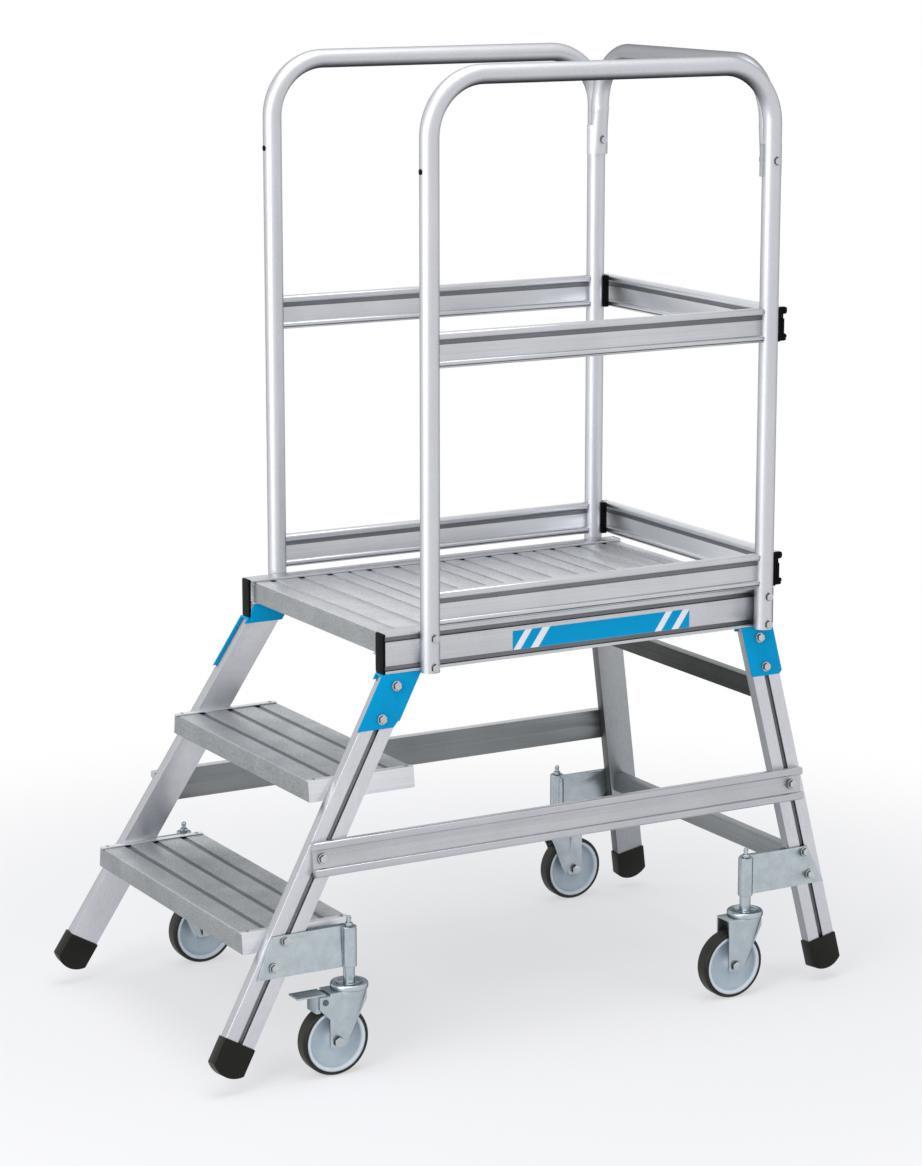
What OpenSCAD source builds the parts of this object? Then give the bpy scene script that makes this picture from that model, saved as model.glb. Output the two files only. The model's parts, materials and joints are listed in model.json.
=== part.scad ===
// Mobile podium step: two treads and a platform, a guardrail on three sides, four sprung castors.
// +Z is up, +Y is the way up the treads and +X is the climber's right hand.
// The origin lies on the floor, at the middle of the footprint.

/* [Platform] */
// Height of the beam tops above the floor, with the castors out
platform_h = 744; // [640:1:900]
// Width over the outer faces of the beams
platform_w = 550; // [450:1:800]
// Length of the beams
beam_l = 800; // [600:1:1200]
// Height of a beam
beam_h = 71; // [66:1:90]
// Width of a beam's box
beam_w = 30; // [26:1:40]
// Wall of the beam and of its ledge and flange
beam_wall = 3; // [2:0.5:4]
// Reach of the beam's top flange over the deck
beam_flange = 6; // [4:1:12]
// Reach of the ledge that carries the deck
beam_ledge = 14; // [8:1:24]
// Thickness of the plugs in the beam ends
plug_t = 4; // [2:0.5:8]

/* [Deck] */
// Depth of a full deck plank
plank_d = 200; // [160:1:260]
// Height of a deck plank
plank_h = 36; // [28:1:40]
// Top skin of the planks and treads
skin_t = 4; // [3:0.5:6]
// Webs and bottom skin of the planks and treads
web_t = 2.5; // [2:0.5:4]
// Joint between two planks
plank_gap = 1; // [0.5:0.1:2]
// Set-back of the deck from the beam ends
deck_setback = 4; // [0:1:12]
// Grooves across a plank: from its edge to the first one
plank_margin = 58.5; // [40:0.5:70]
// Grooves across a plank: spacing
plank_pitch = 42; // [30:0.5:50]
// Width of the grooves, and of the recess over a joint
groove_w = 12; // [6:0.5:16]
// Width of a deck plank's middle groove
slim_groove_w = 6; // [4:0.5:10]
// Depth of the grooves
groove_d = 2; // [1:0.1:2.5]
// Radius of the front edges of the deck and treads
nose_r = 6; // [3:0.5:8]

/* [Legs] */
// Depth of a leg, front to back
leg_d = 58; // [50:1:80]
// Thickness of a leg
leg_w = 22; // [18:1:30]
// Wall of the leg extrusion
leg_wall = 2.5; // [2:0.5:4]
// Width of the slots in the legs and beams
slot_w = 8.6; // [8.4:0.1:10]
// Depth of these slots
slot_d = 6; // [4:0.5:8]
// Outward lean of the legs, in degrees
splay = 6.5; // [3:0.5:9]
// Lean of the front legs, in degrees from upright
front_lean = 30.5; // [22:0.5:36]
// Lean of the rear legs, in degrees from upright
rear_lean = 10.7; // [5:0.1:16]
// From a beam end to the middle of the leg under it
leg_end_d = 32; // [28:1:60]
// From a beam's outer face in to the leg's outer face
leg_inset = 2; // [0:0.5:6]
// Clear height under the front feet, with the castors out
front_foot_gap = 26; // [10:1:26]
// Clear height under the rear feet, with the castors out
rear_foot_gap = 20; // [10:1:26]
// Wall of a foot round its leg
foot_wall = 2; // [1.5:0.5:4]
// Height of a foot's flat sides
foot_h = 48; // [42:1:70]
// Radius of a foot's sole
foot_r = 44; // [42:1:60]
// Thickness of the leg bracket sheet
bracket_t = 3; // [2:0.5:5]
// Height of the outer plate of a leg bracket
bracket_h = 91; // [80:1:110]
// Height of the inner plate of a leg bracket
bracket_inner_h = 38; // [30:1:60]

/* [Braces] */
// Height of the left side brace's middle
left_brace_z = 357; // [330:1:420]
// Height of the right side brace's middle
right_brace_z = 377; // [330:1:420]
// Height of a side brace
brace_h = 60; // [50:1:80]
// Thickness of a side brace over its beads
brace_t = 16; // [12:1:22]
// Height of the upper rear brace's middle
rear_brace_upper_z = 556; // [480:1:570]
// Height of the lower rear brace's middle
rear_brace_lower_z = 235; // [200:1:320]
// Height of the rear braces
rear_brace_h = 37; // [30:1:45]
// Depth of the rear braces
rear_brace_d = 20; // [15:1:30]
// Set-back of the rear braces from the legs' front faces
rear_brace_set = 8; // [4:1:16]

/* [Treads] */
// Rise from one tread to the next
rise = 240; // [200:1:250]
// Depth of a tread
tread_d = 204; // [180:1:240]
// Height of a tread
tread_h = 37; // [30:1:50]
// Overhang of a tread in front of the legs
tread_nose = 45; // [30:1:60]
// First groove across a tread, from its front edge
tread_margin = 50; // [40:1:60]
// Spacing of the tread grooves
tread_pitch = 56; // [45:1:65]
// Sheet of the tread end plates
end_plate_t = 2.5; // [2:0.5:4]
// Width of an end plate's top flange
end_flange = 12; // [10:1:18]

/* [Guardrail] */
// Height of the guardrail's top above the beam tops
guard_h = 958; // [800:1:1100]
// Outside diameter of the guardrail tube
tube_d = 34; // [30:0.5:42]
// Wall of the guardrail tube
tube_wall = 2; // [1.5:0.5:3]
// Bend radius at the tube's centre line
bend_r = 103; // [80:1:140]
// Front posts, from the front ends of the beams
post_front_d = 78; // [50:1:140]
// Rear posts, from the rear ends of the beams
post_rear_d = 31; // [25:1:60]
// Height of the knee rails and toe boards
board_h = 61; // [50:1:80]
// Thickness of the knee rails and toe boards over their beads
board_t = 18; // [14:1:24]
// Height of the knee rails' middle above the beam tops
knee_z = 483; // [400:1:560]
// Gap between the beam tops and the toe boards
toe_gap = 7.5; // [4:0.5:20]
// Depth of the rear handrail's bolts below the guardrail's top
hand_bolt_drop = 184; // [168:1:300]
// Length of the handrail ends below their bolts
hand_end = 28; // [20:1:40]
// Offset of the handrail's bends inward from the posts
hand_offset = 12; // [8:0.5:16]
// Thickness of the handrail's pressed ends round the posts
hand_wrap = 4.5; // [3:0.5:7]

/* [Castors] */
// Wheel diameter
wheel_d = 125; // [100:1:140]
// Tyre width
wheel_w = 32; // [24:1:40]
// Tyre thickness
tyre_t = 6.5; // [4:0.5:10]
// Trail of the axle behind the swivel
trail = 32; // [25:1:40]
// Axle diameter
axle_d = 10; // [8:0.5:12]
// Free height between the wheel and the fork's top
fork_gap = 25; // [22:1:32]
// Sheet of the fork
fork_t = 3; // [2:0.5:4]
// Diameter of the swivel head
head_d = 66; // [56:1:76]
// Height of the swivel head
head_h = 10; // [8:0.5:14]
// Stem diameter
stem_d = 20; // [16:0.5:24]
// Length of stem that shows under the tube
stem_show = 27; // [26:1:40]
// Bracket tube: outside diameter
castor_tube_d = 26.5; // [25:0.5:32]
// Bracket tube: length
castor_tube_l = 71; // [66:1:90]
// Castor bracket plate thickness
plate_t = 4; // [3:0.5:6]
// Length of the plate's top edge from the tube's middle
plate_top_l = 141; // [120:1:150]
// Length of the plate's bottom edge from the tube's middle
plate_bottom_l = 174; // [150:1:180]
// Front castors: from the leg's middle back to the swivel
castor_reach_front = 131; // [115:1:140]
// Rear castors: from the leg's middle forward to the swivel
castor_reach_rear = 140; // [115:1:145]
// From the leg's outer face out to the swivel
castor_offset = 7; // [5:0.5:12]
// Length of the brake pedal beyond the fork
pedal_l = 60; // [50:1:80]

/* [Hidden] */
$fn = 64;

// Sides and ends
left = -1;
right = 1;
sides = [left, right];
front = 0;
rear = 1;
ends = [front, rear];

// Colours
aluminium = [0.80, 0.81, 0.83];
deck_grey = [0.66, 0.68, 0.69];
zinc = [0.70, 0.75, 0.76];
bolt_steel = [0.76, 0.77, 0.79];
blue = [0.0, 0.59, 0.79];
black = [0.07, 0.07, 0.07];
tyre_black = [0.12, 0.12, 0.10];
hub_grey = [0.72, 0.78, 0.82];

// Cuts and fits
overrun = 1;
reach = 2 * (platform_h + guard_h);
fit_gap = 0.05;
seat_gap = 0.1;
run_gap = 0.3;
hole_gap = 0.2;

// Bolts
bolt_d = 8;
bolt_af = 13;
bolt_head_h = 5.3;
washer_d = 18;
washer_t = 1.6;
slot_spare = 0.5;

// Heights
under_z = platform_h - beam_h;
guard_z = platform_h + guard_h;
tread_zs = [platform_h - 2 * rise, platform_h - rise];

// Places across the part
beam_x = platform_w / 2;
leg_x = beam_x - leg_inset;
post_x = beam_x + tube_d / 2;

// Feet: the sole's centre and its flat edge, measured along each leg from the beam's underside
leans = [front_lean, rear_lean];
foot_half_d = leg_d / 2 + foot_wall;
sole_edge = sqrt(pow(foot_r, 2) - pow(foot_half_d, 2));
sole_drops = [
    for (gap = [front_foot_gap, rear_foot_gap])
        (under_z - gap - (leg_w + foot_wall) * sin(splay)) / cos(splay)
];
sole_ls = [for (e = ends) (sole_drops[e] - foot_r) / cos(leans[e])];
sole_t = 12;
foot_reaches = [for (e = ends) foot_half_d * cos(leans[e]) + (sole_ls[e] + sole_edge) * sin(leans[e])];

// Places along the part: the footprint is centred on the origin
beam_y = -(beam_l - foot_reaches[front] + foot_reaches[rear]) / 2;
leg_ys = [beam_y + leg_end_d, beam_y + beam_l - leg_end_d];
post_ys = [beam_y + post_front_d, beam_y + beam_l - post_rear_d];

// Beams
slot_inset = 10;
beam_slot_zs = [under_z + slot_inset, platform_h - slot_inset];
flange_t = 4;
deck_z = platform_h - flange_t;
plug_r = 4;

// Deck
plank_n = max(1, floor(beam_l / plank_d) - 1);
edge_plank_d = (beam_l - plank_n * plank_d) / 2 - deck_setback - plank_gap / 2;
chamber_pitch = 50;
deck_half_w = beam_x - beam_w - seat_gap;
flange_rebate = 0.5;

// Leg brackets
bracket_lap = 4;
bracket_bolt_drop = 21;
bracket_bolt_pitch = 54;
bracket_bolt_zs = [under_z - bracket_bolt_drop, under_z - bracket_bolt_drop - bracket_bolt_pitch];
bracket_chamfer = 10;

// Side braces
brace_web_t = 7;
brace_bead_h = 14;
brace_bead_r = 4;
brace_front_lap = 18;
brace_rear_lap = 20;

// Treads
rivet_share = 0.55;

// Guardrail
top_tube_z = guard_z - tube_d / 2;
bend_z = top_tube_z - bend_r;
knee_mid_z = platform_h + knee_z;
toe_mid_z = platform_h + toe_gap + board_h / 2;
board_zs = [knee_mid_z, toe_mid_z];
bead_h = 13;
bead_r = 5;
board_web_t = 7;
board_slot_h = 8;
board_slot_d = 2.5;
board_line = 2;
board_line_z = 3.5;
saddle_t = 2;
saddle_half_w = 20;
saddle_lip = 9;
cap_t = 4;
rear_board_y = post_ys[rear] + tube_d / 2 + saddle_t + board_t / 2;
hand_z = guard_z - hand_bolt_drop;
hand_x = post_x - hand_offset;
hand_straight = 6;
hand_swell = 0.4;
hand_lean = atan((hand_offset - hand_wrap) / (bend_z - hand_z + hand_end - hand_straight));
hand_nut_offset = hand_wrap + (hand_end + bolt_af / 2) * tan(hand_lean);

// Castors: heights from the floor up
fork_top_z = wheel_d + fork_gap;
head_z = fork_top_z + run_gap;
stem_base_z = head_z + head_h;
tube_low_z = stem_base_z + stem_show;
tube_top_z = tube_low_z + castor_tube_l;
tube_cap_t = 4;
stem_engage = 28;
shoulder_z = tube_low_z + stem_engage;
rod_d = 8;
rod_show = 14;
nut_d = 14;
nut_h = 6;
ring_r = 4;
ring_wire_r = 1.2;
king_d = 12;
king_head_d = 20;
king_head_h = 3;
head_round = 4;
stem_r = stem_d / 2;
tube_bore_r = stem_r + fit_gap;
spring_wire_d = 2.6;
spring_coil_r = tube_bore_r - spring_wire_d / 2 - run_gap;
spring_turns = 5;
spring_steps = 16;
spring_sides = 6;
plate_flange = 8;
plate_flange_gap = 4;
plate_bolt_top = 11;
plate_bolt_low = 17;
plate_bolt_zs = [tube_top_z - plate_bolt_top, tube_low_z + plate_bolt_low];

// Castors: places on the floor
castor_mid_z = (tube_low_z + tube_top_z) / 2;
castor_x = leg_x + side_drop(castor_mid_z) * sin(splay) + castor_offset / cos(splay);
castor_ys = [
    leg_y(front, castor_mid_z) + castor_reach_front,
    leg_y(rear, castor_mid_z) - castor_reach_rear
];

// Forks and wheels
fork_side_gap = 1.5;
fork_in = wheel_w / 2 + fork_side_gap;
fork_out = fork_in + fork_t;
fork_back = 15;
fork_foot = 9;
fork_lip = 2;
fork_round_r = head_d / 2 - fork_lip;
fork_front = sqrt(pow(fork_round_r, 2) - pow(fork_out, 2));
fork_round_lean = 9;
fork_side_h = 18;
wheel_r = wheel_d / 2;
rim_r = wheel_r - tyre_t;
rim_inset = 1.5;
rim_w = wheel_w - 2 * rim_inset;
rim_ring = 6;
rim_web_t = 6;
hub_r = 15;
hub_w = 2 * (fork_in - run_gap);
tyre_round = 7;
axle_r = axle_d / 2;
axle_head_af = 16;
axle_head_h = 5;

// Brake pedals
pedal_w = 2 * (fork_in - run_gap);
pedal_t = 3;
pedal_gap = 1;
pedal_heel = 2;
pedal_pin_d = 6;
pedal_head_d = 11;
pedal_head_h = 2;
pedal_pin_back = 9;
pedal_pin_drop = 14;
ear_back = 20;
ear_h = 26;
pedal_ear_t = 2.5;
pedal_ear_r = 8;
shoe_d = 8;
shoe_back = 16;
shoe_gap = 1;

// Distance down the legs' plane from the beams' underside to a height
function side_drop(z) = (under_z - z) / cos(splay);

// Middle of a leg, at a height
function leg_y(e, z) = leg_ys[e] + (e == front ? -1 : 1) * side_drop(z) * tan(leans[e]);

// Front edge of a leg, at a height
function leg_front_y(e, z) = leg_y(e, z) - leg_d / 2 / cos(leans[e]);

// Rectangle with round corners, centred
module round_rect(w, h, r) {
    square([w - 2 * r, h], center = true);
    square([w, h - 2 * r], center = true);
    for (x = [-1, 1], y = [-1, 1])
        translate([x * (w / 2 - r), y * (h / 2 - r)])
            circle(r);
}

// Plane of the legs' outer faces on one side: x is outward, y along the part, z up the plane
module side_frame(side) {
    mirror([side < 0 ? 1 : 0, 0, 0])
        translate([leg_x, 0, under_z])
            rotate([0, -splay, 0])
                children();
}

// Frame of one leg: z is up the leg, y across its depth, x outward from its outer face
module leg_frame(side, e) {
    side_frame(side)
        translate([0, leg_ys[e], 0])
            rotate([e == front ? -leans[e] : leans[e], 0, 0])
                children();
}

// Everything between two planes that lie parallel to the legs' outer faces
module side_slab(side, x0, x1) {
    side_frame(side)
        translate([x0, -reach / 2, -reach / 2])
            cube([x1 - x0, reach, reach]);
}

// Level slab between two heights
module level_slab(z0, z1) {
    translate([-reach / 2, -reach / 2, z0])
        cube([reach, reach, z1 - z0]);
}

// Swivel frame of a castor: the wheels trail to the front on the right and to the back on the left
module castor_frame(side, e) {
    translate([side * castor_x, castor_ys[e], 0])
        rotate([0, 0, side == right ? 0 : 180])
            children();
}

// Beams

module beam_section() {
    slot_zs = [for (z = beam_slot_zs) z - platform_h];
    difference() {
        union() {
            translate([-beam_w, -beam_h])
                square([beam_w, beam_h]);
            translate([-beam_w - beam_flange, -flange_t])
                square([beam_w + beam_flange, flange_t]);
            translate([-beam_w - beam_ledge, -flange_t - plank_h - beam_wall])
                square([beam_w + beam_ledge, beam_wall]);
        }
        for (z = slot_zs)
            translate([-slot_d, z - slot_w / 2])
                square([slot_d + overrun, slot_w]);
        translate([beam_wall - beam_w, beam_wall - beam_h])
            square([beam_w - slot_d - 2 * beam_wall, beam_h - beam_wall - flange_t]);
        translate([beam_wall - beam_w, slot_zs[0] + slot_w / 2 + beam_wall])
            square([beam_w - 2 * beam_wall, slot_zs[1] - slot_zs[0] - slot_w - 2 * beam_wall]);
    }
}

module beam(side) {
    color(aluminium)
        mirror([side < 0 ? 1 : 0, 0, 0])
            translate([beam_x, beam_y + beam_l, platform_h])
                rotate([90, 0, 0])
                    linear_extrude(beam_l)
                        beam_section();
}

module beam_plugs() {
    color(black)
        for (side = sides, y = [beam_y, beam_y + beam_l + plug_t])
            translate([side * (beam_x - beam_w / 2), y, platform_h - beam_h / 2])
                rotate([90, 0, 0])
                    linear_extrude(plug_t)
                        round_rect(beam_w, beam_h, plug_r);
}

// Deck

// Hollow plank section: front edge at y 0, top at z 0, grooves given as places and widths
module plank_section(d, h, grooves, nose) {
    n = max(1, round(d / chamber_pitch));
    chamber_w = (d - (n + 1) * web_t) / n;
    difference() {
        union() {
            translate([0, -h])
                square([d, h - nose]);
            translate([nose, -h])
                square([d - nose, h]);
            if (nose > 0)
                translate([nose, -nose])
                    circle(nose);
        }
        for (i = [0 : n - 1])
            translate([web_t + i * (chamber_w + web_t), web_t - h])
                square([chamber_w, h - web_t - skin_t]);
        for (g = grooves)
            translate([g[0] - g[1] / 2, -groove_d])
                square([g[1], groove_d + overrun]);
    }
}

// Plank across the deck with its front edge at y, its ends cut down under the beams' flanges
module deck_plank(y, d, grooves, nose) {
    difference() {
        translate([-deck_half_w, y, deck_z])
            rotate([90, 0, 90])
                linear_extrude(2 * deck_half_w)
                    plank_section(d, plank_h, grooves, nose);
        for (x = [-deck_half_w - overrun, deck_half_w - beam_flange])
            translate([x, y - overrun, deck_z - flange_rebate])
                cube([beam_flange + overrun, d + 2 * overrun, flange_rebate + overrun]);
    }
}

module deck_planks() {
    d = plank_d - plank_gap;
    outer = plank_margin - plank_gap / 2;
    grooves = [
        [0, groove_w],
        [outer, groove_w],
        for (g = [outer + plank_pitch : plank_pitch : d - outer - plank_pitch / 2]) [g, slim_groove_w],
        [d - outer, groove_w],
        [d, groove_w]
    ];
    color(deck_grey)
        for (i = [0 : plank_n - 1])
            deck_plank(beam_y + beam_l / 2 + (i - plank_n / 2) * plank_d + plank_gap / 2, d, grooves, 0);
}

module deck_edge_planks() {
    d = edge_plank_d;
    places = [0, for (g = [plank_margin : plank_pitch : d - plank_pitch / 2]) g];
    color(deck_grey) {
        deck_plank(beam_y + deck_setback, d, [for (g = places) [d - g, groove_w]], nose_r);
        deck_plank(beam_y + beam_l - deck_setback - d, d, [for (g = places) [g, groove_w]], 0);
    }
}

// Legs

module leg(side, e) {
    end_l = sole_ls[e] + sole_edge - sole_t;
    color(aluminium)
        difference() {
            leg_frame(side, e)
                difference() {
                    translate([-leg_w, -leg_d / 2, -end_l])
                        cube([leg_w, leg_d, end_l + leg_d]);
                    translate([-slot_d, -slot_w / 2, -end_l - overrun])
                        cube([slot_d + overrun, slot_w, end_l + leg_d + 2 * overrun]);
                    for (y = [leg_wall - leg_d / 2, slot_w / 2 + leg_wall])
                        translate([leg_wall - leg_w, y, -end_l - overrun])
                            cube([leg_w - 2 * leg_wall, (leg_d - slot_w) / 2 - 2 * leg_wall,
                                end_l + leg_d + 2 * overrun]);
                }
            level_slab(under_z - bracket_t, under_z + 2 * leg_d);
        }
}

module foot(side, e) {
    top_l = sole_ls[e] + sole_edge - foot_h;
    end_l = sole_ls[e] + sole_edge - sole_t;
    leg_frame(side, e)
        difference() {
            union() {
                translate([-leg_w - foot_wall, -foot_half_d, -sole_ls[e]])
                    cube([leg_w + 2 * foot_wall, 2 * foot_half_d, sole_ls[e] - top_l]);
                intersection() {
                    translate([-leg_w - foot_wall, -foot_half_d, -sole_ls[e] - foot_r])
                        cube([leg_w + 2 * foot_wall, 2 * foot_half_d, foot_r]);
                    translate([-leg_w - foot_wall - overrun, 0, -sole_ls[e]])
                        rotate([0, 90, 0])
                            cylinder(leg_w + 2 * foot_wall + 2 * overrun, r = foot_r);
                }
            }
            translate([-leg_w - fit_gap, -leg_d / 2 - fit_gap, -end_l])
                cube([leg_w + 2 * fit_gap, leg_d + 2 * fit_gap, end_l]);
        }
}

module feet() {
    color(black)
        for (side = sides, e = ends)
            foot(side, e);
}

// Folded bracket over a leg's top: long outer plate, short inner plate and a web under the beam
module leg_bracket(side, e) {
    half_d = leg_d / 2 + bracket_lap;
    difference() {
        union() {
            intersection() {
                leg_frame(side, e)
                    translate([0, -half_d, -reach / 2])
                        cube([bracket_t, 2 * half_d, reach]);
                level_slab(under_z - bracket_h, under_z);
            }
            intersection() {
                leg_frame(side, e)
                    translate([-leg_w - bracket_t, -half_d, -reach / 2])
                        cube([bracket_t, 2 * half_d, reach]);
                level_slab(under_z - bracket_inner_h, under_z);
            }
            intersection() {
                leg_frame(side, e)
                    translate([-leg_w - bracket_t, -half_d, -reach / 2])
                        cube([leg_w + 2 * bracket_t, 2 * half_d, reach]);
                level_slab(under_z - bracket_t, under_z);
            }
        }
        for (z = bracket_bolt_zs)
            slot_bolt_hole(side, e, z);
        side_frame(side)
            translate([-overrun, leg_y(e, under_z - bracket_h) + half_d / cos(leans[e]),
                -side_drop(under_z - bracket_h)])
                rotate([45, 0, 0])
                    translate([0, -bracket_chamfer, -bracket_chamfer / 2])
                        cube([bracket_t + 2 * overrun, 2 * bracket_chamfer, bracket_chamfer]);
    }
}

module leg_brackets() {
    color(blue)
        for (side = sides, e = ends)
            leg_bracket(side, e);
}

// Bolts in the legs' slots

// Places a child at a leg's middle line at a height, x outward from the leg's outer face
module at_slot(side, e, z) {
    side_frame(side)
        translate([0, leg_y(e, z), -side_drop(z)])
            children();
}

module slot_bolt_hole(side, e, z) {
    at_slot(side, e, z)
        rotate([0, 90, 0])
            translate([0, 0, -overrun])
                cylinder(brace_t + plate_t + 2 * overrun, d = bolt_d + 2 * hole_gap);
}

// Hexagon bolt, with or without a washer: seat at x 0, head outward, shank inward
module hex_bolt(shank_l, washer) {
    rotate([0, 90, 0]) {
        translate([0, 0, -shank_l])
            cylinder(shank_l, d = bolt_d);
        if (washer)
            cylinder(washer_t, d = washer_d);
        cylinder((washer ? washer_t : 0) + bolt_head_h, d = bolt_af / cos(30), $fn = 6);
    }
}

module slot_bolts() {
    depth = slot_d - slot_spare;
    color(bolt_steel)
        for (side = sides, e = ends) {
            for (z = bracket_bolt_zs)
                at_slot(side, e, z)
                    translate([bracket_t, 0, 0])
                        hex_bolt(bracket_t + depth, true);
            at_slot(side, e, brace_z(side))
                translate([brace_web_t, 0, 0])
                    hex_bolt(brace_web_t + depth, true);
            for (z = plate_bolt_zs)
                at_slot(side, e, z)
                    translate([plate_t, 0, 0])
                        hex_bolt(plate_t + depth, true);
        }
}

// Braces

module brace_section() {
    translate([0, -brace_h / 2])
        square([brace_web_t, brace_h]);
    for (z = [-1, 1])
        translate([brace_t / 2, z * (brace_h - brace_bead_h) / 2]) {
            round_rect(brace_t, brace_bead_h, brace_bead_r);
            translate([-brace_t / 2, -brace_bead_h / 2])
                square([brace_t / 2, brace_bead_h]);
        }
}

function brace_z(side) = side == left ? left_brace_z : right_brace_z;

module side_brace(side) {
    z = brace_z(side);
    y0 = leg_y(front, z) - brace_front_lap;
    y1 = leg_y(rear, z) + brace_rear_lap;
    color(aluminium)
        difference() {
            side_frame(side)
                translate([0, y1, -side_drop(z)])
                    rotate([90, 0, 0])
                        linear_extrude(y1 - y0)
                            brace_section();
            for (e = ends)
                slot_bolt_hole(side, e, z);
        }
}

// Square tube between the rear legs
module rear_brace(z) {
    color(aluminium)
        difference() {
            translate([-reach / 2, leg_front_y(rear, z) + rear_brace_set, z - rear_brace_h / 2])
                difference() {
                    cube([reach, rear_brace_d, rear_brace_h]);
                    translate([-overrun, leg_wall, leg_wall])
                        cube([
                            reach + 2 * overrun, rear_brace_d - 2 * leg_wall, rear_brace_h - 2 * leg_wall
                        ]);
                }
            for (side = sides)
                side_slab(side, -leg_w, reach);
        }
}

// Treads

function tread_y(z) = leg_front_y(front, z) - tread_nose;

module tread(z) {
    grooves = [for (g = [tread_margin : tread_pitch : tread_d - tread_pitch / 2]) [g, groove_w]];
    color(deck_grey)
        difference() {
            translate([-reach / 2, tread_y(z), z - end_plate_t])
                rotate([90, 0, 90])
                    linear_extrude(reach)
                        plank_section(tread_d, tread_h - end_plate_t, grooves, nose_r);
            for (side = sides)
                side_slab(side, -leg_w - end_plate_t, reach);
        }
}

// Plate on the leg's inner face with a flange over the tread's end
module tread_end_plate(side, z) {
    box_y = tread_y(z);
    intersection() {
        translate([-reach / 2, box_y, z - tread_h])
            cube([reach, tread_d, tread_h]);
        union() {
            side_slab(side, -leg_w - end_plate_t, -leg_w);
            intersection() {
                side_slab(side, -leg_w - end_flange, -leg_w);
                level_slab(z - end_plate_t, z);
            }
        }
    }
}

module tread_end_plates() {
    color(aluminium)
        for (side = sides, z = tread_zs)
            tread_end_plate(side, z);
}

module tread_rivets() {
    rivet_d = end_flange * rivet_share;
    rivet_h = end_plate_t / 2;
    color(bolt_steel)
        for (side = sides, z = tread_zs, y = [end_flange, tread_d - end_flange])
            translate([
                side * (leg_x + side_drop(z) * sin(splay) - leg_w - end_flange / 2),
                tread_y(z) + y,
                z
            ])
                cylinder(rivet_h, d = rivet_d);
}

// Guardrail

// Inverted U of tube in the XZ plane, legs at x 0 and x span, of the given diameter
module tube_arch(span, leg_l, d, end_l) {
    for (x = [0, span])
        translate([x, 0, -leg_l - end_l])
            cylinder(leg_l + end_l, d = d);
    translate([bend_r, 0, 0])
        rotate([90, 0, 0])
            rotate([0, 0, 90])
                rotate_extrude(angle = 90)
                    translate([bend_r, 0])
                        circle(d = d);
    translate([span - bend_r, 0, 0])
        rotate([90, 0, 0])
            rotate_extrude(angle = 90)
                translate([bend_r, 0])
                    circle(d = d);
    translate([bend_r, 0, bend_r])
        rotate([0, 90, 0])
            cylinder(span - 2 * bend_r, d = d);
}

// Solid run of a side rail and its posts, grown by a gap and longer at its open ends
module side_arch(side, gap, end_l) {
    translate([side * post_x, post_ys[front], bend_z])
        rotate([0, 0, 90])
            tube_arch(post_ys[rear] - post_ys[front], bend_z - under_z, tube_d + 2 * gap, end_l);
}

// Bolt place in a post, x outward from the post's outer side
module at_post(side, e, z) {
    mirror([side < 0 ? 1 : 0, 0, 0])
        translate([post_x + tube_d / 2, post_ys[e], z])
            children();
}

module post_bolt_hole(side, e, z) {
    at_post(side, e, z)
        rotate([0, -90, 0])
            translate([0, 0, -overrun])
                cylinder(tube_d + hand_offset + 2 * overrun, d = bolt_d + 2 * hole_gap);
}

module side_rail(side) {
    color(aluminium)
        difference() {
            side_arch(side, 0, 0);
            side_arch(side, -tube_wall, overrun);
            for (e = ends, z = beam_slot_zs)
                post_bolt_hole(side, e, z);
            post_bolt_hole(side, rear, hand_z);
        }
}

// Solid run of the rear handrail: a bent top and two legs that lean out to the posts
module handrail_run(d) {
    leg_l = bend_z - hand_z + hand_end;
    translate([-hand_x, post_ys[rear], bend_z])
        tube_arch(2 * hand_x, hand_straight, d, 0);
    for (side = sides)
        translate([side * hand_x, post_ys[rear], bend_z - hand_straight])
            rotate([0, -side * hand_lean, 0]) {
                sphere(d = d + 2 * hand_swell);
                translate([0, 0, -leg_l])
                    cylinder(leg_l, d = d);
            }
}

// Handrail with its ends pressed into half sleeves on the inner sides of the posts
module rear_handrail() {
    end_z = hand_z - hand_end;
    color(aluminium)
        difference() {
            union() {
                handrail_run(tube_d);
                for (side = sides)
                    intersection() {
                        translate([side * post_x, post_ys[rear], end_z])
                            cylinder(2 * hand_end, d = tube_d + 2 * hand_wrap);
                        translate([-post_x, post_ys[rear] - tube_d, end_z])
                            cube([2 * post_x, 2 * tube_d, 2 * hand_end]);
                    }
            }
            handrail_run(tube_d - 2 * tube_wall);
            level_slab(under_z, end_z);
            for (side = sides) {
                side_arch(side, fit_gap, 0);
                post_bolt_hole(side, rear, hand_z);
            }
        }
}

// Board section with a bead along its top and bottom, a slot under the top bead and a line in the other
module board_section() {
    difference() {
        union() {
            square([board_web_t, board_h - bead_h], center = true);
            for (z = [-1, 1])
                translate([0, z * (board_h - bead_h) / 2])
                    round_rect(board_t, bead_h, bead_r);
        }
        for (x = [-1, 1]) {
            translate([x * board_web_t / 2 - board_slot_d, board_h / 2 - bead_h - board_slot_h])
                square([2 * board_slot_d, board_slot_h]);
            translate([x * board_t / 2 - board_line, board_line_z - board_h / 2])
                square([2 * board_line, board_line]);
        }
    }
}

// Board between the posts of one side, its ends shaped to the tubes
module side_board(side, z) {
    color(aluminium)
        difference() {
            translate([side * post_x, post_ys[rear], z])
                rotate([90, 0, 0])
                    linear_extrude(post_ys[rear] - post_ys[front])
                        board_section();
            for (e = ends)
                translate([side * post_x, post_ys[e], z - board_h])
                    cylinder(2 * board_h, d = tube_d + 2 * fit_gap);
        }
}

// Board across the rear, behind the posts
module rear_board(z) {
    color(aluminium)
        translate([-post_x, rear_board_y, z])
            rotate([90, 0, 90])
                linear_extrude(2 * post_x)
                    board_section();
}

module rail_end_caps() {
    color(black)
        for (z = board_zs, x = [-post_x - cap_t, post_x])
            translate([x, rear_board_y, z])
                rotate([90, 0, 90])
                    linear_extrude(cap_t)
                        board_section();
}

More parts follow.
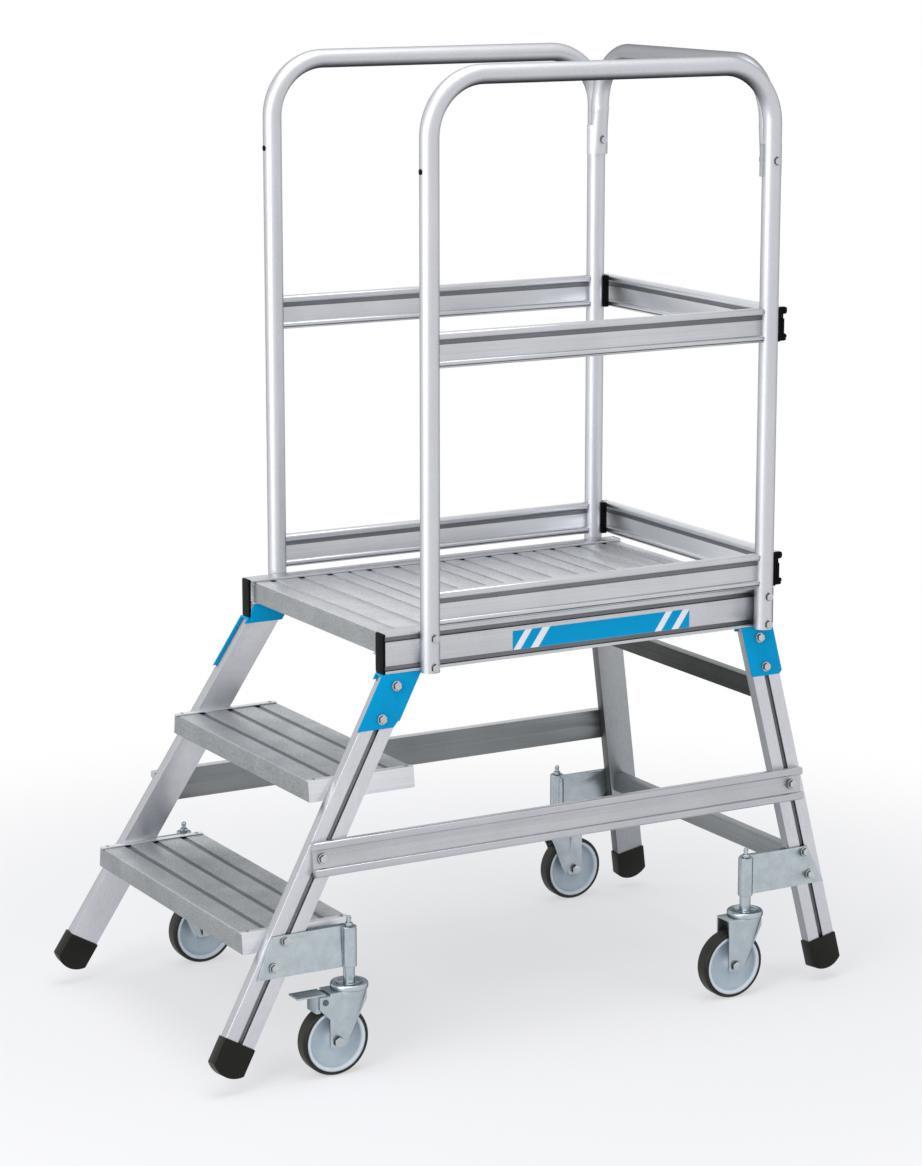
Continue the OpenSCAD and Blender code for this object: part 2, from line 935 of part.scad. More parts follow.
module rail_saddles() {
    color(black)
        for (side = sides, z = board_zs)
            translate([side * post_x, post_ys[rear], z])
                difference() {
                    translate([-saddle_half_w, saddle_lip, -board_h / 2])
                        cube([2 * saddle_half_w, tube_d / 2 + saddle_t - saddle_lip, board_h]);
                    translate([0, 0, -board_h])
                        cylinder(2 * board_h, d = tube_d + 2 * fit_gap);
                }
}

module guardrail_bolts() {
    nut_af = bolt_af / cos(30);
    color(bolt_steel)
        for (side = sides) {
            for (e = ends, z = beam_slot_zs)
                at_post(side, e, z)
                    hex_bolt(tube_d + slot_d - slot_spare, false);
            at_post(side, rear, hand_z) {
                hex_bolt(tube_d + hand_nut_offset, false);
                translate([-tube_d - hand_nut_offset, 0, 0])
                    rotate([0, -90, 0])
                        cylinder(bolt_head_h, d = nut_af, $fn = 6);
            }
        }
}

// Castors

// Plate on the leg with a welded upright tube, bored for the stem and its rod
module castor_bracket(side, e) {
    dir = e == front ? -1 : 1;
    y = castor_ys[e];
    flange_l = abs(y - leg_y(e, tube_top_z)) - leg_d / 2 / cos(leans[e]) - plate_flange_gap;
    difference() {
        union() {
            intersection() {
                side_frame(side)
                    rotate([90, 0, 90])
                        linear_extrude(plate_t)
                            polygon([
                                [y, -side_drop(tube_top_z)],
                                [y + dir * plate_top_l, -side_drop(tube_top_z)],
                                [y + dir * plate_bottom_l, -side_drop(tube_low_z)],
                                [y, -side_drop(tube_low_z)]
                            ]);
                level_slab(tube_low_z, tube_top_z);
            }
            for (z = [tube_low_z, tube_top_z - plate_t])
                intersection() {
                    translate([-reach / 2, dir > 0 ? y : y - flange_l, z])
                        cube([reach, flange_l, plate_t]);
                    side_slab(side, -plate_flange, plate_t);
                }
            translate([side * castor_x, y, tube_low_z])
                cylinder(castor_tube_l, d = castor_tube_d);
        }
        translate([side * castor_x, y, tube_low_z - overrun])
            cylinder(castor_tube_l - tube_cap_t + overrun, r = tube_bore_r);
        translate([side * castor_x, y, tube_low_z])
            cylinder(castor_tube_l + overrun, d = rod_d + 2 * hole_gap);
        for (z = plate_bolt_zs)
            slot_bolt_hole(side, e, z);
    }
}

module castor_brackets(e) {
    color(zinc)
        for (side = sides)
            castor_bracket(side, e);
}

// Turned stem: kingpin and rivet head below, dished swivel head, shaft, rod, nut and ring on top
module stem(side, e) {
    rod_top_z = tube_top_z + rod_show;
    king_low_z = fork_top_z - fork_t - run_gap;
    color(zinc)
        castor_frame(side, e) {
            translate([0, 0, head_z])
                rotate_extrude() {
                    square([head_d / 2, head_h - head_round]);
                    translate([head_d / 2 - head_round, head_h - head_round])
                        circle(head_round);
                }
            translate([0, 0, king_low_z])
                cylinder(head_z - king_low_z, d = king_d);
            translate([0, 0, king_low_z - king_head_h])
                cylinder(king_head_h, d = king_head_d);
            translate([0, 0, head_z])
                cylinder(shoulder_z - head_z, r = stem_r);
            translate([0, 0, shoulder_z])
                cylinder(rod_top_z - shoulder_z, d = rod_d);
            translate([0, 0, tube_top_z + seat_gap])
                cylinder(nut_h, d = nut_d);
            translate([0, 0, rod_top_z])
                rotate([90, 0, 90])
                    rotate_extrude()
                        translate([ring_r, 0])
                            circle(ring_wire_r, $fn = 32);
        }
}

// Point on the spring's wire: t in turns, k the point's place round the wire
function spring_point(t, k, l) =
    let (a = 360 * k / spring_sides, r = spring_coil_r + spring_wire_d / 2 * cos(a))
    [r * cos(360 * t), r * sin(360 * t), l * t / spring_turns + spring_wire_d / 2 * sin(a)];

// Compression spring round the rod, between the stem's shoulder and the tube's cap
module spring(side, e) {
    n = spring_turns * spring_steps;
    free_l = tube_top_z - tube_cap_t - shoulder_z - 2 * seat_gap - spring_wire_d;
    points = [for (i = [0 : n], k = [0 : spring_sides - 1]) spring_point(i / spring_steps, k, free_l)];
    walls = [
        for (i = [0 : n - 1], k = [0 : spring_sides - 1])
            let (a = i * spring_sides, b = a + spring_sides, m = (k + 1) % spring_sides)
            each [[a + k, a + m, b + m], [a + k, b + m, b + k]]
    ];
    caps = [
        for (k = [1 : spring_sides - 2])
            each [[0, k + 1, k], [n * spring_sides, n * spring_sides + k, n * spring_sides + k + 1]]
    ];
    color(bolt_steel)
        castor_frame(side, e)
            translate([0, 0, shoulder_z + seat_gap + spring_wire_d / 2])
                polyhedron(points, concat(walls, caps));
}

// Side view of one fork arm: y along the trail, upright behind the axle and sloped in front
module fork_arm(braked) {
    back = -trail - fork_back;
    foot_z = wheel_r - fork_foot;
    side_z = fork_top_z - fork_side_h;
    ear_z = fork_top_z - ear_h;
    ear_top_z = fork_top_z - pedal_t - pedal_gap;
    difference() {
        union() {
            polygon([
                [back, foot_z], [fork_back - trail, foot_z],
                [fork_front, side_z], [fork_front, fork_top_z], [back, fork_top_z]
            ]);
            if (braked)
                polygon([
                    [back, ear_z - ear_back], [back - ear_back, ear_z],
                    [back - ear_back, ear_top_z], [back, ear_top_z]
                ]);
        }
        translate([-trail, wheel_r])
            circle(axle_r + seat_gap);
    }
}

// Cone of the fork under the swivel head, leaning back to the axle: up to a height, less an inset
module fork_round(top_z, inset) {
    foot_z = wheel_r - fork_foot;
    l = fork_top_z - foot_z;
    intersection() {
        translate([0, 0, fork_top_z])
            rotate([-fork_round_lean, 0, 0])
                translate([0, 0, -l])
                    cylinder(2 * l, r1 = fork_in - inset, r2 = 2 * fork_round_r - fork_in - inset);
        level_slab(foot_z, top_z);
    }
}

// Pressed fork: roof bored for the kingpin, two arms with a round, the pedal's pin on braked ones
module fork(side, e) {
    braked = e == front;
    back = -trail - fork_back;
    roof_z = fork_top_z - fork_t;
    color(zinc)
        castor_frame(side, e) {
            difference() {
                union() {
                    translate([-fork_out, back, roof_z])
                        cube([2 * fork_out, fork_front - back, fork_t]);
                    for (x = [-fork_out, fork_in])
                        translate([x, 0, 0])
                            rotate([90, 0, 90])
                                linear_extrude(fork_t)
                                    fork_arm(braked);
                    fork_round(fork_top_z, 0);
                }
                fork_round(roof_z, fork_t);
                translate([-fork_in, -reach / 2, 0])
                    cube([2 * fork_in, reach, roof_z]);
                translate([0, 0, roof_z - overrun])
                    cylinder(fork_t + 2 * overrun, r = king_d / 2 + fit_gap);
            }
            if (braked)
                translate([0, back - pedal_pin_back, fork_top_z - pedal_pin_drop])
                    rotate([0, 90, 0]) {
                        translate([0, 0, -fork_out])
                            cylinder(2 * fork_out, d = pedal_pin_d);
                        for (z = [-fork_out - pedal_head_h, fork_out])
                            translate([0, 0, z])
                                cylinder(pedal_head_h, d = pedal_head_d);
                    }
        }
}

module axle(side, e) {
    color(bolt_steel)
        castor_frame(side, e)
            translate([0, -trail, wheel_r])
                rotate([0, 90, 0]) {
                    translate([0, 0, -fork_out])
                        cylinder(2 * fork_out, r = axle_r);
                    for (z = [-fork_out - axle_head_h, fork_out])
                        translate([0, 0, z])
                            cylinder(axle_head_h, d = axle_head_af / cos(30), $fn = 6);
                }
}

// Dished rim with a bored hub
module wheel(side, e) {
    color(hub_grey)
        castor_frame(side, e)
            translate([0, -trail, wheel_r])
                rotate([0, 90, 0])
                    rotate_extrude() {
                        translate([axle_r + fit_gap, -hub_w / 2])
                            square([hub_r - axle_r - fit_gap, hub_w]);
                        translate([hub_r - overrun, -rim_web_t / 2])
                            square([rim_r - hub_r, rim_web_t]);
                        translate([rim_r - rim_ring, -rim_w / 2])
                            square([rim_ring, rim_w]);
                    }
}

module tyre(side, e) {
    in_r = rim_r + fit_gap;
    color(tyre_black)
        castor_frame(side, e)
            translate([0, -trail, wheel_r])
                rotate([0, 90, 0])
                    rotate_extrude()
                        difference() {
                            translate([wheel_r - tyre_round - tyre_t, 0])
                                round_rect(2 * (tyre_round + tyre_t), wheel_w, tyre_round);
                            translate([-reach, -reach / 2])
                                square([reach + in_r, reach]);
                        }
}

// Brake pedal: a plate with two ears on the fork's pin and a shoe over the tyre
module pedal(side) {
    back = -trail - fork_back;
    plate_z = fork_top_z - pedal_t;
    pin_y = back - pedal_pin_back;
    pin_z = fork_top_z - pedal_pin_drop;
    shoe_y = pin_y - shoe_back;
    shoe_z = wheel_r + sqrt(pow(wheel_r, 2) - pow(shoe_y + shoe_d + trail, 2)) + shoe_gap;
    color(zinc)
        castor_frame(side, front) {
            translate([-pedal_w / 2, back - pedal_l, plate_z])
                cube([pedal_w, pin_y + pedal_heel - back + pedal_l, pedal_t]);
            translate([-pedal_w / 2, shoe_y, shoe_z])
                cube([pedal_w, shoe_d, plate_z - shoe_z]);
            for (x = [-pedal_w / 2, pedal_w / 2 - pedal_ear_t])
                difference() {
                    translate([x, pin_y - pedal_ear_r, pin_z])
                        cube([pedal_ear_t, 2 * pedal_ear_r, plate_z - pin_z]);
                    translate([x - overrun, pin_y, pin_z])
                        rotate([0, 90, 0])
                            cylinder(pedal_ear_t + 2 * overrun, d = pedal_pin_d + 2 * fit_gap);
                }
            for (x = [-pedal_w / 2, pedal_w / 2 - pedal_ear_t])
                translate([x, pin_y, pin_z])
                    rotate([0, 90, 0])
                        difference() {
                            cylinder(pedal_ear_t, r = pedal_ear_r);
                            translate([0, 0, -overrun])
                                cylinder(pedal_ear_t + 2 * overrun, d = pedal_pin_d + 2 * fit_gap);
                        }
        }
}

beam(left);  // beam_left
beam(right);  // beam_right
beam_plugs();
deck_planks();
deck_edge_planks();
leg(left, front);  // front_leg_left
leg(right, front);  // front_leg_right
leg(left, rear);  // rear_leg_left
leg(right, rear);  // rear_leg_right
feet();
leg_brackets();
slot_bolts();
side_brace(left);  // side_brace_left
side_brace(right);  // side_brace_right
rear_brace(rear_brace_upper_z);  // rear_brace_upper
rear_brace(rear_brace_lower_z);  // rear_brace_lower
tread(tread_zs[0]);  // tread_lower
tread(tread_zs[1]);  // tread_upper
tread_end_plates();
tread_rivets();
side_rail(left);  // side_rail_left
side_rail(right);  // side_rail_right
side_board(left, knee_mid_z);  // knee_rail_left
side_board(right, knee_mid_z);  // knee_rail_right
side_board(left, toe_mid_z);  // toe_board_left
side_board(right, toe_mid_z);  // toe_board_right
rear_handrail();
rear_board(knee_mid_z);  // rear_knee_rail
rear_board(toe_mid_z);  // rear_toe_board
rail_end_caps();
rail_saddles();
guardrail_bolts();
castor_brackets(front);  // castor_brackets_front
castor_brackets(rear);  // castor_brackets_rear
stem(left, front);  // stem_front_left
stem(right, front);  // stem_front_right
stem(left, rear);  // stem_rear_left
stem(right, rear);  // stem_rear_right
spring(left, front);  // spring_front_left
spring(right, front);  // spring_front_right
spring(left, rear);  // spring_rear_left
spring(right, rear);  // spring_rear_right
fork(left, front);  // fork_front_left
fork(right, front);  // fork_front_right
fork(left, rear);  // fork_rear_left
fork(right, rear);  // fork_rear_right
axle(left, front);  // axle_front_left
axle(right, front);  // axle_front_right
axle(left, rear);  // axle_rear_left
axle(right, rear);  // axle_rear_right
wheel(left, front);  // wheel_front_left
wheel(right, front);  // wheel_front_right
wheel(left, rear);  // wheel_rear_left
wheel(right, rear);  // wheel_rear_right
tyre(left, front);  // tyre_front_left
tyre(right, front);  // tyre_front_right
tyre(left, rear);  // tyre_rear_left
tyre(right, rear);  // tyre_rear_right
pedal(left);  // pedal_left
pedal(right);  // pedal_right
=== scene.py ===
import bpy
import json
from math import cos, radians, sin
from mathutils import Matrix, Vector


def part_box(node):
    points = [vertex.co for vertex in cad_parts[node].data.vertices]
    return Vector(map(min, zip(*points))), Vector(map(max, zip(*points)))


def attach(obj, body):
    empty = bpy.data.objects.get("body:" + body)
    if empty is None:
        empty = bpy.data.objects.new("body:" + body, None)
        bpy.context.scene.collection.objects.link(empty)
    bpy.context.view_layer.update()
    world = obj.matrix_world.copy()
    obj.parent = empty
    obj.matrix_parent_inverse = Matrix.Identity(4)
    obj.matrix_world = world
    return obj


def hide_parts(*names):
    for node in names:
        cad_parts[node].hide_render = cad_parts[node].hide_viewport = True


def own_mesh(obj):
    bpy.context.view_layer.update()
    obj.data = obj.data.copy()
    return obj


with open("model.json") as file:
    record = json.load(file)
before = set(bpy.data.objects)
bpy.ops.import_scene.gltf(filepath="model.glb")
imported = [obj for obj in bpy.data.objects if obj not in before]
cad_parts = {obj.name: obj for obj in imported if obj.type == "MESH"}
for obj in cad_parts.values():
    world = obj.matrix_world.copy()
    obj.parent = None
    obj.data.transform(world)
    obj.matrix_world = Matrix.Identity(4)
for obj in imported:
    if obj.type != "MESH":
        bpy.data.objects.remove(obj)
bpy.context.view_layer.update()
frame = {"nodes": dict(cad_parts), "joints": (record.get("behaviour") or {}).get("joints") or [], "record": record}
nodes = frame["nodes"]
bodyOf = {n: body for body, members in frame["record"]["behaviour"]["bodies"].items() for n in members}
corners = ["front_left", "front_right", "rear_left", "rear_right"]
sides = {"left": -1, "right": 1}                 # and the way that each faces along X
legLean = {"front": 30.5, "rear": -10.7}         # degrees from upright
print("frame loaded:", len(nodes), "nodes")


# materials

def hexColour(code):
    rgb = [int(code[i:i + 2], 16) / 255 for i in (1, 3, 5)]
    return [c / 12.92 if c <= 0.04045 else ((c + 0.055) / 1.055) ** 2.4 for c in rgb] + [1]


def addNode(tree, kind, links=(), **settings):
    node = tree.nodes.new(kind)
    for key, value in settings.items():
        if key[:2] == "in" and key[2:].isdigit():
            node.inputs[int(key[2:])].default_value = value
        else:
            setattr(node, key, value)
    for source, outlet, inlet in links:
        tree.links.new(source.outputs[outlet], node.inputs[inlet])
    return node


def startMaterial(name, colour, metallic, roughness):
    material = bpy.data.materials.new(name)
    material.use_nodes = True
    tree = material.node_tree
    surface = tree.nodes["Principled BSDF"]
    surface.inputs["Base Color"].default_value = hexColour(colour)
    surface.inputs["Metallic"].default_value = metallic
    surface.inputs["Roughness"].default_value = roughness
    return material, tree, surface


def feedSurface(tree, surface, feeds):
    for inlet, (node, outlet) in feeds.items():
        tree.links.new(node.outputs[outlet], surface.inputs[inlet])


reliefDepth = 0.0003        # m, the height that a full bump stands for


# extruded or drawn aluminium: pale grey with a soft sheen, fine die lines along the length, a mill grain
# and a faint cloudy oxide
def aluminiumFinish(name, look):
    material, tree, surface = startMaterial(name, look["dark"], 1.0, look["roughness"])
    surface.inputs["Specular Tint"].default_value = hexColour(look["edge"])
    place = addNode(tree, "ShaderNodeTexCoord")
    turned = addNode(tree, "ShaderNodeMapping", [(place, "Object", 0)], in2=(radians(look["lean"]), 0, 0))
    stretch = [1000 / look["lengthMm"] if axis == look["along"] else 1000 / look["lineMm"] for axis in "XYZ"]
    lined = addNode(tree, "ShaderNodeMapping", [(turned, 0, 0)], in3=stretch)
    dieLines = addNode(tree, "ShaderNodeTexNoise", [(lined, 0, "Vector")], in2=1.0, in3=3.0, in4=0.6)
    cloud = addNode(tree, "ShaderNodeTexNoise", [(turned, 0, "Vector")], in2=1000 / look["cloudMm"], in3=3.0)
    grain = addNode(tree, "ShaderNodeTexNoise", [(turned, 0, "Vector")], in2=1000 / look["grainMm"], in3=2.0)
    marks = addNode(tree, "ShaderNodeMath", [(dieLines, 0, 0), (grain, 0, 1)], operation="ADD")
    both = addNode(tree, "ShaderNodeMath", [(cloud, 0, 0), (marks, 0, 2)], operation="MULTIPLY_ADD",
                   in1=look["cloudShare"])
    shade = addNode(tree, "ShaderNodeMapRange", [(both, 0, 0)], in1=look["tones"][0], in2=look["tones"][1])
    tint = addNode(tree, "ShaderNodeMix", [(shade, 0, 0)], data_type="RGBA",
                   in6=hexColour(look["dark"]), in7=hexColour(look["light"]))
    if "under" in look:        # painted shade, darker where the piece's own attribute says so
        below = addNode(tree, "ShaderNodeAttribute", attribute_name="underside")
        tint = addNode(tree, "ShaderNodeMix", [(below, "Fac", 0), (tint, 2, 6)], data_type="RGBA",
                       in7=hexColour(look["under"]))
    rough = addNode(tree, "ShaderNodeMapRange", [(both, 0, 0)], in1=look["rubs"][0], in2=look["rubs"][1],
                    in3=look["roughness"] + look["spread"], in4=look["roughness"] - look["spread"])
    relief = addNode(tree, "ShaderNodeBump", [(marks, 0, "Height")], in0=look["relief"], in1=reliefDepth)
    feedSurface(tree, surface, {"Base Color": (tint, 2), "Roughness": (rough, 0), "Normal": (relief, 0)})
    return material


# die lines and mill grain are really under 0.5 mm: 1.4 to 2.2 mm here so that they show at this size
boardLook = {"dark": "#babcc1", "light": "#d0d2d6", "edge": "#ffffff", "roughness": 0.33, "spread": 0.06,
             "along": "Y", "lean": 0, "lineMm": 1.6, "lengthMm": 400, "grainMm": 1.4, "cloudMm": 120,
             "cloudShare": 0.6, "tones": (0.95, 1.65), "rubs": (0.9, 1.7), "relief": 0.10}
# under: the colour of the painted shade on the tubes' undersides
tubeLook = dict(boardLook, dark="#c4c6cb", light="#d2d4d8", edge="#74767a", roughness=0.45, spread=0.03,
                along="none", lineMm=2.0, relief=0.012, under="#5a5d60")
crossLook = dict(boardLook, along="X", dark="#cccfd3", light="#dfe1e4")
# rear braces: painted shade, darker all over as they lie under the deck
rearShadeLook = dict(crossLook, dark="#84888a", light="#999d9f", roughness=0.55)
# the upper rear brace's front face: painted shade, darker still
shadeLook = dict(crossLook, dark="#3a3d3c", light="#4d504f", roughness=0.5)
# the rear legs' inner faces and the right rear leg's front face: painted shade
innerShadeLook = dict(boardLook, along="Z", lean=legLean["rear"], dark="#979b9e", light="#abaeb1", roughness=0.42)
# the left rear leg's front face: a darker painted shade
rearLegShadeLook = dict(innerShadeLook, dark="#5c5f5e", light="#6e7170")
braceLook = dict(boardLook, dark="#b0b2b6", light="#c6c7cc", roughness=0.36)
# the side braces' inner faces: painted shade
braceInsideShadeLook = dict(braceLook, dark="#85898a", light="#999c9e", roughness=0.5)
beamLook = dict(boardLook, dark="#b9bbc0", light="#cdcfd3", roughness=0.36)
frontLegLook = dict(boardLook, along="Z", lean=legLean["front"], dark="#c4c5cb", light="#d9dadf",
                    roughness=0.36)
rearLegLook = dict(frontLegLook, lean=legLean["rear"])
# the legs' front faces: painted shade, darker than the sides
legFrontShadeLook = dict(frontLegLook, dark="#b0b2b6", light="#c2c4c8")
deckLook = dict(boardLook, along="X", dark="#b4b6bb", light="#e2e3e7", roughness=0.40, spread=0.10,
                lineMm=2.2, lengthMm=8, grainMm=1.6, cloudMm=60, relief=0.36)
treadLook = dict(deckLook, dark="#9b9fa2", light="#c6c9cc", roughness=0.42)
plateLook = dict(boardLook, dark="#cdcfd3", light="#e2e3e7", roughness=0.36)
# slots: painted shade
slotShadeLook = dict(boardLook, dark="#6c6e71", light="#84868a", roughness=0.45, spread=0.04, relief=0.05)
# groove floors: painted shade
deckGrooveShadeLook = dict(deckLook, dark="#b2b4b9", light="#cccdd1", relief=0.05)
treadGrooveShadeLook = dict(treadLook, dark="#6c7073", light="#818588", relief=0.05)
# plank and tread noses: painted shade on the front faces
deckNoseShadeLook = dict(deckLook, dark="#8b8f91", light="#aeb1b3", relief=0.2)
treadNoseShadeLook = dict(treadLook, dark="#83888a", light="#a5a9ab", relief=0.2)
# the gaps under the flanges: a painted shadow
gapShadowLook = dict(slotShadeLook, dark="#232425", light="#38393b")

drawnTube = aluminiumFinish("drawn_aluminium_tube", tubeLook)
extrudedBoard = aluminiumFinish("extruded_aluminium_board", boardLook)
extrudedCross = aluminiumFinish("extruded_aluminium_cross", crossLook)
rearBraceShadeMetal = aluminiumFinish("extruded_aluminium_rear_brace_painted_shade", rearShadeLook)
shadeMetal = aluminiumFinish("aluminium_brace_front_painted_shade", shadeLook)
innerShadeMetal = aluminiumFinish("aluminium_inner_side_painted_shade", innerShadeLook)
rearLegShadeMetal = aluminiumFinish("aluminium_rear_leg_front_painted_shade", rearLegShadeLook)
extrudedBrace = aluminiumFinish("extruded_aluminium_brace", braceLook)
braceInsideShade = aluminiumFinish("aluminium_brace_inside_painted_shade", braceInsideShadeLook)
extrudedBeam = aluminiumFinish("extruded_aluminium_beam", beamLook)
legFrontShadeMetal = aluminiumFinish("aluminium_leg_front_painted_shade", legFrontShadeLook)
frontLegMetal = aluminiumFinish("extruded_aluminium_front_leg", frontLegLook)
rearLegMetal = aluminiumFinish("extruded_aluminium_rear_leg", rearLegLook)
millDeck = aluminiumFinish("mill_aluminium_deck", deckLook)
millTread = aluminiumFinish("mill_aluminium_tread", treadLook)
sheetPlate = aluminiumFinish("aluminium_sheet", plateLook)
slotShade = aluminiumFinish("aluminium_slot_painted_shade", slotShadeLook)        # painted shade in slots and recesses
deckGrooveShade = aluminiumFinish("aluminium_deck_groove_painted_shade", deckGrooveShadeLook)
treadGrooveShade = aluminiumFinish("aluminium_tread_groove_painted_shade", treadGrooveShadeLook)
deckNoseShade = aluminiumFinish("mill_aluminium_deck_nose_painted_shade", deckNoseShadeLook)
treadNoseShade = aluminiumFinish("mill_aluminium_tread_nose_painted_shade", treadNoseShadeLook)
gapShade = aluminiumFinish("aluminium_gap_painted_shadow", gapShadowLook)


# bright zinc plate on pressed steel: cool silver, a faint fine spangle and soft blotches
def zincFinish(name, look):
    material, tree, surface = startMaterial(name, look["dark"], 1.0, look["roughness"])
    surface.inputs["Specular Tint"].default_value = hexColour(look["edge"])
    place = addNode(tree, "ShaderNodeTexCoord")
    blotch = addNode(tree, "ShaderNodeTexNoise", [(place, "Object", "Vector")],
                     in2=1000 / look["blotchMm"], in3=3.0)
    grain = addNode(tree, "ShaderNodeTexNoise", [(place, "Object", "Vector")],
                    in2=1000 / look["grainMm"], in3=3.0)
    tone = addNode(tree, "ShaderNodeMath", [(blotch, 0, 0), (grain, 0, 1)], operation="ADD")
    shade = addNode(tree, "ShaderNodeMapRange", [(tone, 0, 0)], in1=look["tones"][0], in2=look["tones"][1])
    tint = addNode(tree, "ShaderNodeMix", [(shade, 0, 0)], data_type="RGBA",
                   in6=hexColour(look["dark"]), in7=hexColour(look["light"]))
    rough = addNode(tree, "ShaderNodeMapRange", [(tone, 0, 0)], in1=look["rubs"][0], in2=look["rubs"][1],
                    in3=look["roughness"] + look["rougher"], in4=look["roughness"] - look["smoother"])
    relief = addNode(tree, "ShaderNodeBump", [(grain, 0, "Height")], in0=look["relief"], in1=reliefDepth)
    feedSurface(tree, surface, {"Base Color": (tint, 2), "Roughness": (rough, 0), "Normal": (relief, 0)})
    return material


zincLook = {"dark": "#acb6bb", "light": "#c0cacf", "edge": "#6c7579", "roughness": 0.36, "rougher": 0.06,
            "smoother": 0.05, "blotchMm": 22, "grainMm": 2.2, "tones": (0.7, 1.3), "rubs": (0.6, 1.4),
            "relief": 0.05}
boltLook = dict(zincLook, dark="#b0b3b6", light="#cacccf", roughness=0.24)
sleeveLook = dict(zincLook, dark="#aab4b9", light="#c0cacf", roughness=0.27)
# bolt flats: painted shade, darker than the faces
flatsShadeLook = dict(zincLook, dark="#5a5e61", light="#73777a", roughness=0.3)
zincPlate = zincFinish("zinc_plated_steel", zincLook)
zincBolt = zincFinish("zinc_plated_bolt", boltLook)
zincTube = zincFinish("zinc_plated_tube", sleeveLook)
boltFlatShade = zincFinish("zinc_plated_bolt_flats_painted_shade", flatsShadeLook)


# powder-coated steel in sky blue: even satin film with a very fine orange peel
def blueFinish(name, look):
    material, tree, surface = startMaterial(name, look["dark"], 0.0, look["roughness"])
    surface.inputs["Specular IOR Level"].default_value = look["gloss"]
    place = addNode(tree, "ShaderNodeTexCoord")
    cloud = addNode(tree, "ShaderNodeTexNoise", [(place, "Object", "Vector")],
                    in2=1000 / look["cloudMm"], in3=3.0)
    tint = addNode(tree, "ShaderNodeMix", [(cloud, 0, 0)], data_type="RGBA",
                   in6=hexColour(look["dark"]), in7=hexColour(look["light"]))
    peel = addNode(tree, "ShaderNodeTexNoise", [(place, "Object", "Vector")], in2=1000 / look["peelMm"])
    relief = addNode(tree, "ShaderNodeBump", [(peel, 0, "Height")], in0=look["relief"], in1=reliefDepth)
    feedSurface(tree, surface, {"Base Color": (tint, 2), "Normal": (relief, 0)})
    return material


blueLook = {"dark": "#0094ca", "light": "#009fd5", "roughness": 0.4, "gloss": 0.08, "peelMm": 1.8,
            "cloudMm": 40, "relief": 0.06}
bluePowder = blueFinish("blue_powder_coat", blueLook)


# moulded plastics and rubber: matt, a fine grain from the mould, paler where it is rubbed
def mouldedFinish(name, look):
    material, tree, surface = startMaterial(name, look["colour"], 0.0, look["roughness"])
    surface.inputs["Specular IOR Level"].default_value = look["gloss"]
    place = addNode(tree, "ShaderNodeTexCoord")
    grain = addNode(tree, "ShaderNodeTexNoise", [(place, "Object", "Vector")],
                    in2=1000 / look["grainMm"], in3=4.0)
    rub = addNode(tree, "ShaderNodeTexNoise", [(place, "Object", "Vector")],
                  in2=1000 / look["rubMm"], in3=5.0)
    shade = addNode(tree, "ShaderNodeMapRange", [(rub, 0, 0)], in1=look["tones"][0], in2=look["tones"][1])
    tint = addNode(tree, "ShaderNodeMix", [(shade, 0, 0)], data_type="RGBA",
                   in6=hexColour(look["colour"]), in7=hexColour(look["rubbed"]))
    rough = addNode(tree, "ShaderNodeMapRange", [(grain, 0, 0)], in1=look["rubs"][0], in2=look["rubs"][1],
                    in3=look["roughness"] - look["spread"], in4=look["roughness"] + look["spread"])
    relief = addNode(tree, "ShaderNodeBump", [(grain, 0, "Height")], in0=look["relief"], in1=reliefDepth)
    feedSurface(tree, surface, {"Base Color": (tint, 2), "Roughness": (rough, 0), "Normal": (relief, 0)})
    return material


plugLook = {"colour": "#060607", "rubbed": "#0c0c0e", "roughness": 0.36, "spread": 0.06, "gloss": 0.05,
            "grainMm": 1.5, "rubMm": 30, "tones": (0.35, 0.75), "rubs": (0.3, 0.7), "relief": 0.05}
capLook = dict(plugLook, colour="#3c4243", rubbed="#4a5051", roughness=0.4, gloss=0.4)
footLook = dict(plugLook, colour="#0e0f09", rubbed="#15150f", roughness=0.42, gloss=0.22, grainMm=1.6,
                rubMm=25, relief=0.06)
tyreLook = dict(plugLook, colour="#161711", rubbed="#23231c", roughness=0.46, gloss=0.3, grainMm=1.4,
                rubMm=18, relief=0.06)
hubLook = dict(plugLook, colour="#aebdc7", rubbed="#bccad3", roughness=0.30, gloss=0.5, grainMm=2.0,
               rubMm=35, relief=0.03)
# the rim ring: a painted highlight, lighter than the web
rimHighlightLook = dict(hubLook, colour="#d3dee5", rubbed="#dde6ec")
plugPlastic = mouldedFinish("black_polypropylene", plugLook)
capPlastic = mouldedFinish("grey_polypropylene_cap", capLook)
footRubber = mouldedFinish("black_foot_rubber", footLook)
tyreRubber = mouldedFinish("dark_tyre_rubber", tyreLook)
hubPlastic = mouldedFinish("grey_polypropylene_hub", hubLook)
rimHighlight = mouldedFinish("polypropylene_rim_painted_highlight", rimHighlightLook)
print("materials made:", len(bpy.data.materials))


# pieces

sharpFrom = {"bevel": radians(38), "finished": radians(36), "turned": radians(34)}
merging = {"cad": 0.00002, "turned": 0.00001, "flat": radians(0.6)}       # m, m, and what counts as flat
facing = {"squarely": 0.9, "mostly": 0.7, "partly": 0.6, "halfway": 0.5}    # a normal's share along one axis


def beginPiece():
    if bpy.context.object and bpy.context.object.mode != "OBJECT":
        bpy.ops.object.mode_set(mode="OBJECT")
    bpy.ops.object.select_all(action="DESELECT")


def makeActive(piece):
    beginPiece()
    piece.select_set(True)
    bpy.context.view_layer.objects.active = piece


def finishPiece(piece, name, body, material):
    makeActive(piece)
    bpy.ops.object.transform_apply(location=True, rotation=True, scale=True)
    piece.name = name
    piece.data.materials.clear()
    piece.data.materials.append(material)
    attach(piece, body)
    return piece


def copyPiece(piece, name, move):
    twin = bpy.data.objects.new(name, piece.data.copy())
    bpy.context.scene.collection.objects.link(twin)
    twin.location = move
    return twin


def layOver(piece, turn):
    piece.rotation_euler = turn
    makeActive(piece)
    bpy.ops.object.transform_apply(rotation=True)


